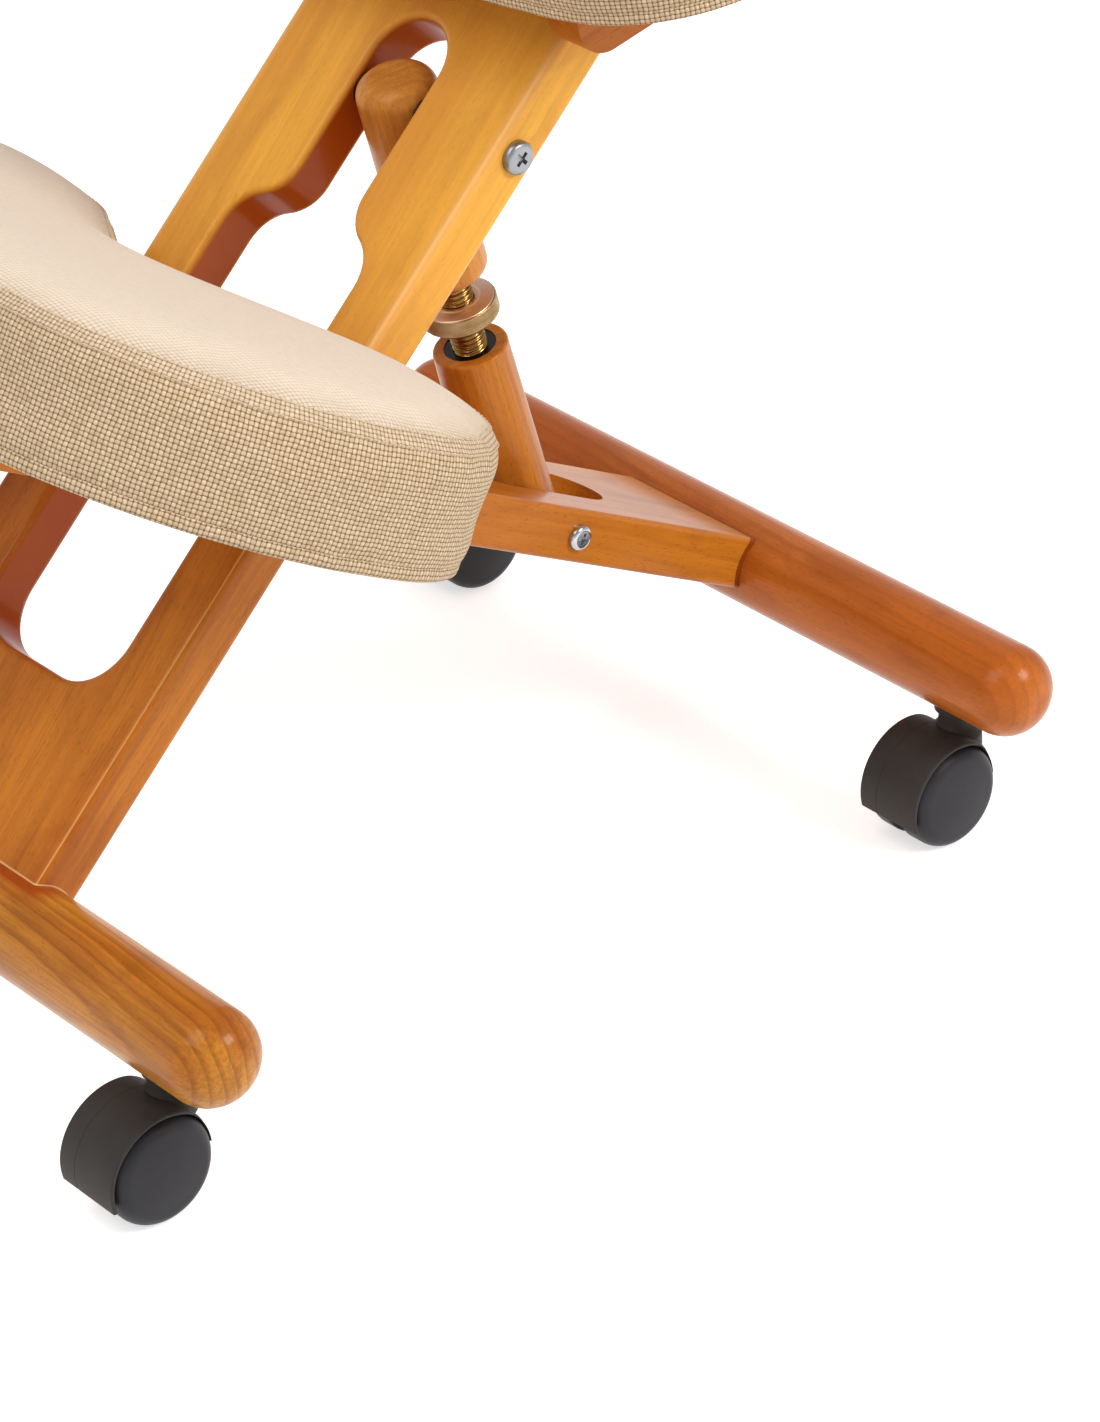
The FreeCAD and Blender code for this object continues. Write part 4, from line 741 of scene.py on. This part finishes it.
# %% Knurled adjuster wheel
knurl, sizes, end = recipe("knurl", Radius=0.01775, Height=RIM_HEIGHT * MM, Teeth=110.0,
                           Climb=900.0, Depth=0.0004, Top=0.0007, Foot=0.0018)
sums, product = partial(maths, knurl), partial(both, knurl)
blank, spot, share, height = cylinder(knurl, 660, 48, sizes["Radius"], sizes["Height"])
climb = product(height, sizes["Climb"])
turns = product(share, sizes["Teeth"])
cuts = [sums("PINGPONG", sums(way, turns, climb), 0.5) for way in ("ADD", "SUBTRACT")]
peak = product(sums("MINIMUM", *cuts), 2)
pushed = product(sums("SUBTRACT", 1, peak), sizes["Depth"])
half = product(sizes["Height"], 0.5)
to_top = sums("SUBTRACT", half, height)
to_foot = sums("ADD", half, height)
bevel = sums("MAXIMUM", sums("SUBTRACT", sizes["Top"], to_top),
             sums("SUBTRACT", sizes["Foot"], to_foot))
pushed = sums("MAXIMUM", pushed, bevel)
close_recipe(knurl, drawn_in(knurl, blank, spot, pushed, sizes["Radius"]), knurl_zinc, end)
rim_place = POST @ place(0, WHEEL_FOOT + RIM_HEIGHT / 2)
rim = grown("adjuster_rim", knurl, "adjuster", rim_place, crease=50)
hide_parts("adjuster_wheel")
print("knurl faces:", len(rim.data.polygons))

# %% Face and collar of the wheel
face_section = [(0.2, 8.05), (9.0, 16.9), (9.5, 16.75), (9.75, 16.4), (9.95, 11.2), (10.1, 10.5),
                (10.5, 10.15), (10.6, 9.7), (10.6, 8.8), (10.3, 8.05)]
verts, faces = carried(face_section)
stood = off_axis(POST @ place(0, WHEEL_FOOT), -90, "Y")
collar = join_up("adjuster_collar", verts, faces, "adjuster", gold_zinc, stood, 40)
print("collar faces:", len(collar.data.polygons))

# %% [markdown]
# ## Cushions
# Each cushion is a foam block in a coarse woven cover: a top panel and a side band that meet in a
# flat raised seam just below the rounded edge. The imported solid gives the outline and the
# thickness. A copy of it is remeshed, drawn in a little, blown up again as cloth under pressure
# with its hem held still, and smoothed. The seam comes after that, laid on the swollen surface.

# %% Woven cover
THREAD = 2.07


def woven(name):
    """A coarse plain weave that reads the piece's own weave map, in metres."""
    made, tree, shader, where = blank_finish(name)
    laid = node(tree, "ShaderNodeUVMap", uv_map="weave").outputs[0]
    sway = vectors(tree, "SUBTRACT", noise(tree, where, 70, 2, "Color"), (0.5, 0.5, 0.5))
    count = node(tree, "ShaderNodeVectorMath", {0: laid, 3: 1 / (THREAD * MM)},
                 operation="SCALE").outputs[0]
    count = vectors(tree, "MULTIPLY_ADD", sway, (0.8, 0.8, 0), count)
    parts = xyz(tree, count)
    arch = [maths(tree, "SINE", both(tree, maths(tree, "FRACT", parts[side]), math.pi))
            for side in "XY"]
    cell = [maths(tree, "FLOOR", parts[side]) for side in "XY"]
    over = maths(tree, "PINGPONG", maths(tree, "ADD", *cell), 1)
    warp, weft = [both(tree, maths(tree, "POWER", wide, 0.7), linear(tree, long, 0.6, 0.4))
                  for wide, long in (arch, arch[::-1])]
    height = maths(tree, "ADD", both(tree, warp, over), both(tree, weft, without(tree, over)))
    # Painted light and shade: the gaps between the yarns are painted shade, one set of crowns is
    # painted darker than the other, and every tone is lighter on the top panel (panel 1) than on
    # the side band, as painted top light. The slub noise is the yarn's own uneven tone.
    panel = node(tree, "ShaderNodeAttribute", attribute_name="panel").outputs["Fac"]
    painted_gap_shade, low, high, slub_and_painted_shade = [mixed(tree, panel, side, top) for side, top in (
        ("74512c", "d8c3aa"), ("dcc29e", "eddac8"), ("e8cfae", "ecdbc9"), ("bb9b72", "e2cdb2"))]
    slub = steps(tree, noise(tree, where, 300, 3), (0.4, 0.0), (0.8, 0.6))
    yarn = mixed(tree, slub, mixed(tree, over, low, high), slub_and_painted_shade)
    paint(shader, mixed(tree, steps(tree, height, (0.12, 0.0), (0.62, 1.0)), painted_gap_shade, yarn))
    hold(shader, Roughness=0.92, Specular_IOR_Level=0.15, Sheen_Weight=0.12)
    relief = both(tree, height, linear(tree, panel, -0.75, 1.0))
    relief = linear(tree, noise(tree, where, 1500, 2), 0.15, relief)
    relieved(tree, shader, relief, 0.85, 0.0005)
    return made


def twisted(name, dark, light):
    """Sewing thread, between two tones."""
    made, tree, shader, where = blank_finish(name)
    paint(shader, mixed(tree, noise(tree, where, 2500, 1), dark, light))
    hold(shader, Roughness=0.85)
    return made


cover_cloth = woven("woven_cover")
thread_cloth = twisted("sewing_thread", "c9a884", "ecd8bd")
shaded_thread = twisted("shaded_thread", "9a744e", "c09b74")
print("cover woven at", THREAD, "mm a thread")

# %% Foam block blown up as cloth
HELD, FREE, SLACK, VOXEL, CLOTH_STEPS = 12.5, 20.0, 1.2, 4.0, 20


def rows_of(items, field):
    """The points or directions of a mesh's parts as rows of three numbers."""
    flat = np.zeros(len(items) * 3, np.float32)
    items.foreach_get(field, flat)
    return flat.reshape(-1, 3).astype(float)


def put_points(mesh, points):
    """Writes rows of three numbers back to a mesh."""
    mesh.vertices.foreach_set("co", points.astype(np.float32).ravel())
    mesh.update()


def applied(piece):
    """Applies a piece's modifiers to its mesh."""
    mesh = as_mesh(piece)
    piece.modifiers.clear()
    piece.data = mesh


def plump(title, home, cap):
    """The cushion's solid, laid flat, remeshed, drawn in and blown up again by cap at most."""
    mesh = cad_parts[title].data.copy()
    mesh.transform(home.inverted())
    shape = bmesh.new()
    shape.from_mesh(mesh)
    bmesh.ops.remove_doubles(shape, verts=shape.verts, dist=1e-5)
    shape.to_mesh(mesh)
    shape.free()
    piece = added(title + "_cover", mesh)
    voxels = piece.modifiers.new("remesh", "REMESH")
    voxels.mode, voxels.voxel_size, voxels.adaptivity = "VOXEL", VOXEL * MM, 0
    applied(piece)
    rest = rows_of(piece.data.vertices, "co")
    loose = smooth_share(rest[:, 2] / MM, HELD, FREE)
    slim = rest - rows_of(piece.data.vertices, "normal") * (SLACK * MM * loose)[:, None]
    put_points(piece.data, slim)
    held = piece.vertex_groups.new(name="held")
    for i in np.nonzero(loose < 1)[0]:
        held.add([int(i)], float(1 - loose[i]), "REPLACE")
    cloth = piece.modifiers.new("cloth", "CLOTH")
    for setting, value in dict(quality=4, mass=0.3, use_pressure=True, uniform_pressure_force=4,
                               vertex_group_mass="held").items():
        setattr(cloth.settings, setting, value)
    cloth.settings.effector_weights.gravity = 0
    cloth.point_cache.frame_start, cloth.point_cache.frame_end = 1, CLOTH_STEPS
    for step in range(1, CLOTH_STEPS + 1):
        scene.frame_set(step)
    swollen = as_mesh(piece)
    piece.modifiers.clear()
    moved = rows_of(swollen.vertices, "co") - slim
    far = np.linalg.norm(moved, axis=1)
    moved *= (np.minimum(far, cap * MM) / np.maximum(far, 1e-9))[:, None]
    put_points(piece.data, slim + moved)
    scene.frame_set(1)
    print(title, "swelled by up to", round(far.max() / MM, 1), "mm")
    soften = piece.modifiers.new("soften", "SMOOTH")
    soften.factor, soften.iterations = 0.5, 6
    finer = piece.modifiers.new("finer", "SUBSURF")
    finer.levels = finer.render_levels = 1
    applied(piece)
    return piece


CUSHIONS = {"knee": ("leg_frame", PAD), "seat": ("main_frame", SEAT)}
covers = {"knee": plump("knee_cushion", PAD, 2.4), "seat": plump("seat_cushion", SEAT, 4)}
print("cover points:", [len(cover.data.vertices) for cover in covers.values()])

# %% [markdown]
# The weave has to follow the cloth: square to the pad's middle on the top panel, and along the edge
# on the side band. So each cover gets its own map, in metres. The side band's map runs along a
# loop, which is the edge of a level cut through the cover.

# %% A level loop round a cover


def evened(ring, times):
    """A closed row of points with its small steps smoothed out."""
    for _ in range(times):
        ring = (np.roll(ring, 1, axis=0) + 2 * ring + np.roll(ring, -1, axis=0)) / 4
    return ring


def level_loop(mesh, height, spacing=0.002):
    """The outer edge of a level cut, as evenly spaced points that run anticlockwise."""
    shape = bmesh.new()
    shape.from_mesh(mesh)
    parts = list(shape.verts) + list(shape.edges) + list(shape.faces)
    cut = bmesh.ops.bisect_plane(shape, geom=parts, plane_co=(0, 0, height * MM),
                                 plane_no=(0, 0, 1))["geom_cut"]
    near = {}
    for edge in (e for e in cut if isinstance(e, bmesh.types.BMEdge)):
        for one, other in (edge.verts, reversed(edge.verts)):
            near.setdefault(one, []).append(other)
    start = max(near, key=lambda v: v.co.x)
    line, last, here = [start.co.copy()], None, start
    while True:
        onward = next((v for v in near[here] if v is not last), None)
        if onward is None or onward is start:
            break
        line.append(onward.co.copy())
        last, here = here, onward
    shape.free()
    points = np.array([(v.x, v.y) for v in line])
    following = np.roll(points, -1, axis=0)
    if (points[:, 0] * following[:, 1] - following[:, 0] * points[:, 1]).sum() < 0:
        points = points[::-1]
    points = evened(points, 12)
    closed = np.vstack([points, points[:1]])
    run = np.concatenate([[0], np.cumsum(np.linalg.norm(np.diff(closed, axis=0), axis=1))])
    count = int(run[-1] / spacing)
    even = np.linspace(0, run[-1], count, endpoint=False)
    return np.column_stack([np.interp(even, run, closed[:, i]) for i in range(2)]), run[-1]


def onward_of(loop):
    """The direction of travel at each point of a loop."""
    along = np.roll(loop, -1, axis=0) - np.roll(loop, 1, axis=0)
    return along / np.linalg.norm(along, axis=1)[:, None]


def outward_of(loop):
    """The level direction away from the pad at each point of a loop."""
    along = onward_of(loop)
    return np.column_stack([along[:, 1], -along[:, 0]])


SEAM_LOW, SEAM_HIGH = 55.8, 62.6
loops = {title: level_loop(cover.data, SEAM_LOW - 4) for title, cover in covers.items()}
print("round the covers:", {title: round(length, 3) for title, (_, length) in loops.items()}, "m")

# %% Weave map


def mark_panel(mesh, values):
    """Writes how far each point belongs to the top panel, 0 to 1."""
    panel = mesh.attributes.new("panel", "FLOAT", "POINT")
    panel.data.foreach_set("value", values.astype(np.float32))


def weave_map(mesh, loop, length, seam=(SEAM_LOW + SEAM_HIGH) / 2):
    """Writes the weave map and the panel attribute that tells the top panel from the side band."""
    points = rows_of(mesh.vertices, "co")
    nearby = KDTree(len(loop))
    for i, (x, y) in enumerate(loop):
        nearby.insert((x, y, 0), i)
    nearby.balance()
    nearest = np.array([nearby.find((x, y, 0))[1] for x, y, _ in points])
    beyond = (points[:, :2] - loop[nearest]) * onward_of(loop)[nearest]
    run = nearest * length / len(loop) + beyond.sum(axis=1)
    corners = np.zeros(len(mesh.loops), np.int32)
    mesh.loops.foreach_get("vertex_index", corners)
    corners = corners.reshape(-1, 4)
    middle = points[corners].mean(axis=1)
    flat = (middle[:, 2] > seam * MM) | (rows_of(mesh.polygons, "normal")[:, 2] < -0.7)
    runs = run[corners]
    behind = runs.max(axis=1, keepdims=True) - runs > length / 2
    runs = np.where(behind, runs + length, runs)
    across = np.where(flat[:, None], points[corners][:, :, 0], runs)
    upward = np.where(flat[:, None], points[corners][:, :, 1], points[corners][:, :, 2])
    chart = mesh.uv_layers.new(name="weave")
    chart.data.foreach_set("uv", np.stack([across, upward], axis=2).astype(np.float32).ravel())
    mark_panel(mesh, smooth_share(points[:, 2] / MM, seam - 3, seam + 9))


for title, cover in covers.items():
    weave_map(cover.data, *loops[title])
    print(title, "cover has the maps", [layer.name for layer in cover.data.uv_layers])

# %% [markdown]
# The seam is a flat fold of cloth about seven millimetres wide that stands a little proud, with a
# row of stitches near each edge. Its rows are found by looking in at the cover from outside, level
# by level, and each point is lifted off the cloth by the fold's own thickness. The hem is another
# such band, round the foot of the cover and in under the plywood's edge. The knee pad's foam is a
# little fuller at one end, so everything on it is raised there and lowered at the other.

# %% Stitches
stitches, sizes, end = recipe("stitches", Pitch=0.0042, Long=0.0018, Thick=0.00036)
line = node(stitches, "GeometryNodeMeshToCurve", {0: sizes["Geometry"]}).outputs[0]
spaced = node(stitches, "GeometryNodeResampleCurve",
              {"Curve": line, "Length": sizes["Pitch"]}, mode="LENGTH").outputs[0]
bead = node(stitches, "GeometryNodeMeshUVSphere",
            {"Segments": 6, "Rings": 4, "Radius": 1.0}).outputs[0]
form = node(stitches, "ShaderNodeCombineXYZ",
            {0: sizes["Long"], 1: sizes["Thick"], 2: sizes["Thick"]}).outputs[0]
tangent = node(stitches, "GeometryNodeInputTangent").outputs[0]
turned = node(stitches, "FunctionNodeAlignRotationToVector",
              {"Vector": tangent}, axis="X").outputs[0]
sown = node(stitches, "GeometryNodeInstanceOnPoints", {
    "Points": spaced, "Instance": bead, "Rotation": turned, "Scale": form}).outputs[0]
close_recipe(stitches, sown, thread_cloth, end)
print("recipe nodes:", len(stitches.nodes))

# %% Raised seams and hems


def on_cover(tree, loop, away, height, lift):
    """Points on the cover at one level, lifted off it; one for each point of the loop."""
    found = []
    for (x, y), (nx, ny) in zip(loop, away):
        start = Vector((x + nx * 0.015, y + ny * 0.015, height * MM))
        spot, normal, _, _ = tree.ray_cast(start, Vector((-nx, -ny, 0)), 0.045)
        spot = spot if spot is not None else Vector((x, y, height * MM))
        normal = normal if normal is not None else Vector((nx, ny, 0))
        found.append(spot + normal * lift * MM)
    return np.array(found)


def ring_line(points):
    """A closed line of edges."""
    mesh = bpy.data.meshes.new("line")
    count = len(points)
    mesh.from_pydata([tuple(p) for p in points], [(i, (i + 1) % count) for i in range(count)], [])
    return mesh


# The seam band takes a small share of the top panel's lighter tones, as painted top light.
PAD_TOP, SEAM_LIT_SHARE = 0.071, 0.12
KNEE_FULLER = math.tan(math.radians(1.4)) / PAD_TOP


def fuller(points, share):
    """Raises points at the far end and lowers them at the near end, more so the higher they lie."""
    raised = np.array(points, float)
    raised[:, 2] *= 1 - share * raised[:, 0]
    return raised


def band(name, rows, marks, length, lit_share, body, home):
    """A closed strip of cloth from rows of points; marks are the rows' places across the weave."""
    count = len(rows[0])
    faces = [(r * count + i, r * count + j, (r + 1) * count + j, (r + 1) * count + i)
             for r in range(len(rows) - 1) for i, j in zip(range(count), [*range(1, count), 0])]
    mesh = bpy.data.meshes.new(name)
    mesh.from_pydata([tuple(p) for row in rows for p in row], [], faces)
    chart = mesh.uv_layers.new(name="weave")
    step = length / count
    for number, polygon in enumerate(mesh.polygons):
        r, i = divmod(number, count)
        spots = [(i, r), (i + 1, r), (i + 1, r + 1), (i, r + 1)]
        for corner, (run, row) in zip(polygon.loop_indices, spots):
            chart.data[corner].uv = (run * step, marks[row] * MM)
    # The strip's share of the top panel's painted top light.
    mark_panel(mesh, np.full(len(mesh.vertices), lit_share))
    mesh.materials.append(cover_cloth)
    set_down(name, mesh, body, home)


def seam_on(title, cover, loop, length, body, home, share):
    """The raised band between top panel and side band, and its two rows of stitches."""
    tree = BVHTree.FromPolygons([v.co for v in cover.data.vertices],
                                [p.vertices for p in cover.data.polygons])
    away = outward_of(loop)
    shares = [0.0, 0.06, 0.14, 0.3, 0.5, 0.7, 0.86, 0.94, 1.0]
    lifts = [-0.5, 0.3, 0.7, 0.5, 0.5, 0.5, 0.75, 0.35, -0.5]
    levels = [SEAM_LOW + (SEAM_HIGH - SEAM_LOW) * s for s in shares]
    rows = [on_cover(tree, loop, away, level, lift) for level, lift in zip(levels, lifts)]
    rows = [fuller(evened(row, 3), share) for row in rows]
    climb = [0.0] + [float(np.linalg.norm(b - a, axis=1).mean()) / MM
                     for a, b in zip(rows, rows[1:])]
    marks = [SEAM_LOW + m for m in np.cumsum(climb)]
    band(title + "_seam", rows, marks, length, SEAM_LIT_SHARE, body, home)
    for edge, pick in (("low", 2), ("high", 6)):
        line = ring_line(rows[pick])
        row = grown(f"{title}_{edge}_stitches", stitches, body, home, line)
        row.data.materials[0] = thread_cloth if edge == "low" else shaded_thread


def hem_on(title, cover, body, home):
    """The foot of the cover: down the last of its side and in under the plywood's edge."""
    loop, length = level_loop(cover.data, 6)
    away = outward_of(loop)
    profile = [(-1.0, 6.4), (0.2, 5.6), (0.3, 4), (0.3, 2.4), (0.1, 1.1), (-0.4, 0.2), (-1.2, -0.4),
               (-3.0, -0.7), (-6.5, -0.8), (-11.0, -0.8), (-14.0, -0.7), (-14.6, -0.1)]
    rows = [np.column_stack([loop + away * out * MM, np.full(len(loop), z * MM)])
            for out, z in profile]
    climb = [0.0] + [math.dist(a, b) for a, b in zip(profile, profile[1:])]
    marks = [6.4 - m for m in np.cumsum(climb)]
    band(title + "_hem", rows[::-1], marks[::-1], length, 0.0, body, home)


for title, share in (("knee", KNEE_FULLER), ("seat", 0)):
    seam_on(title, covers[title], *loops[title], *CUSHIONS[title], share)
for title, cover in covers.items():
    hem_on(title, cover, *CUSHIONS[title])
padding = covers["knee"].data
put_points(padding, fuller(rows_of(padding.vertices, "co"), KNEE_FULLER))

# %% Covers in place
for title, cover in covers.items():
    body, home = CUSHIONS[title]
    cover.data.transform(home)
    cover.data.shade_smooth()
    cover.data.materials.clear()
    cover.data.materials.append(cover_cloth)
    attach(cover, body)
    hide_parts(title + "_cushion")
print("covers ride on leg_frame and main_frame")
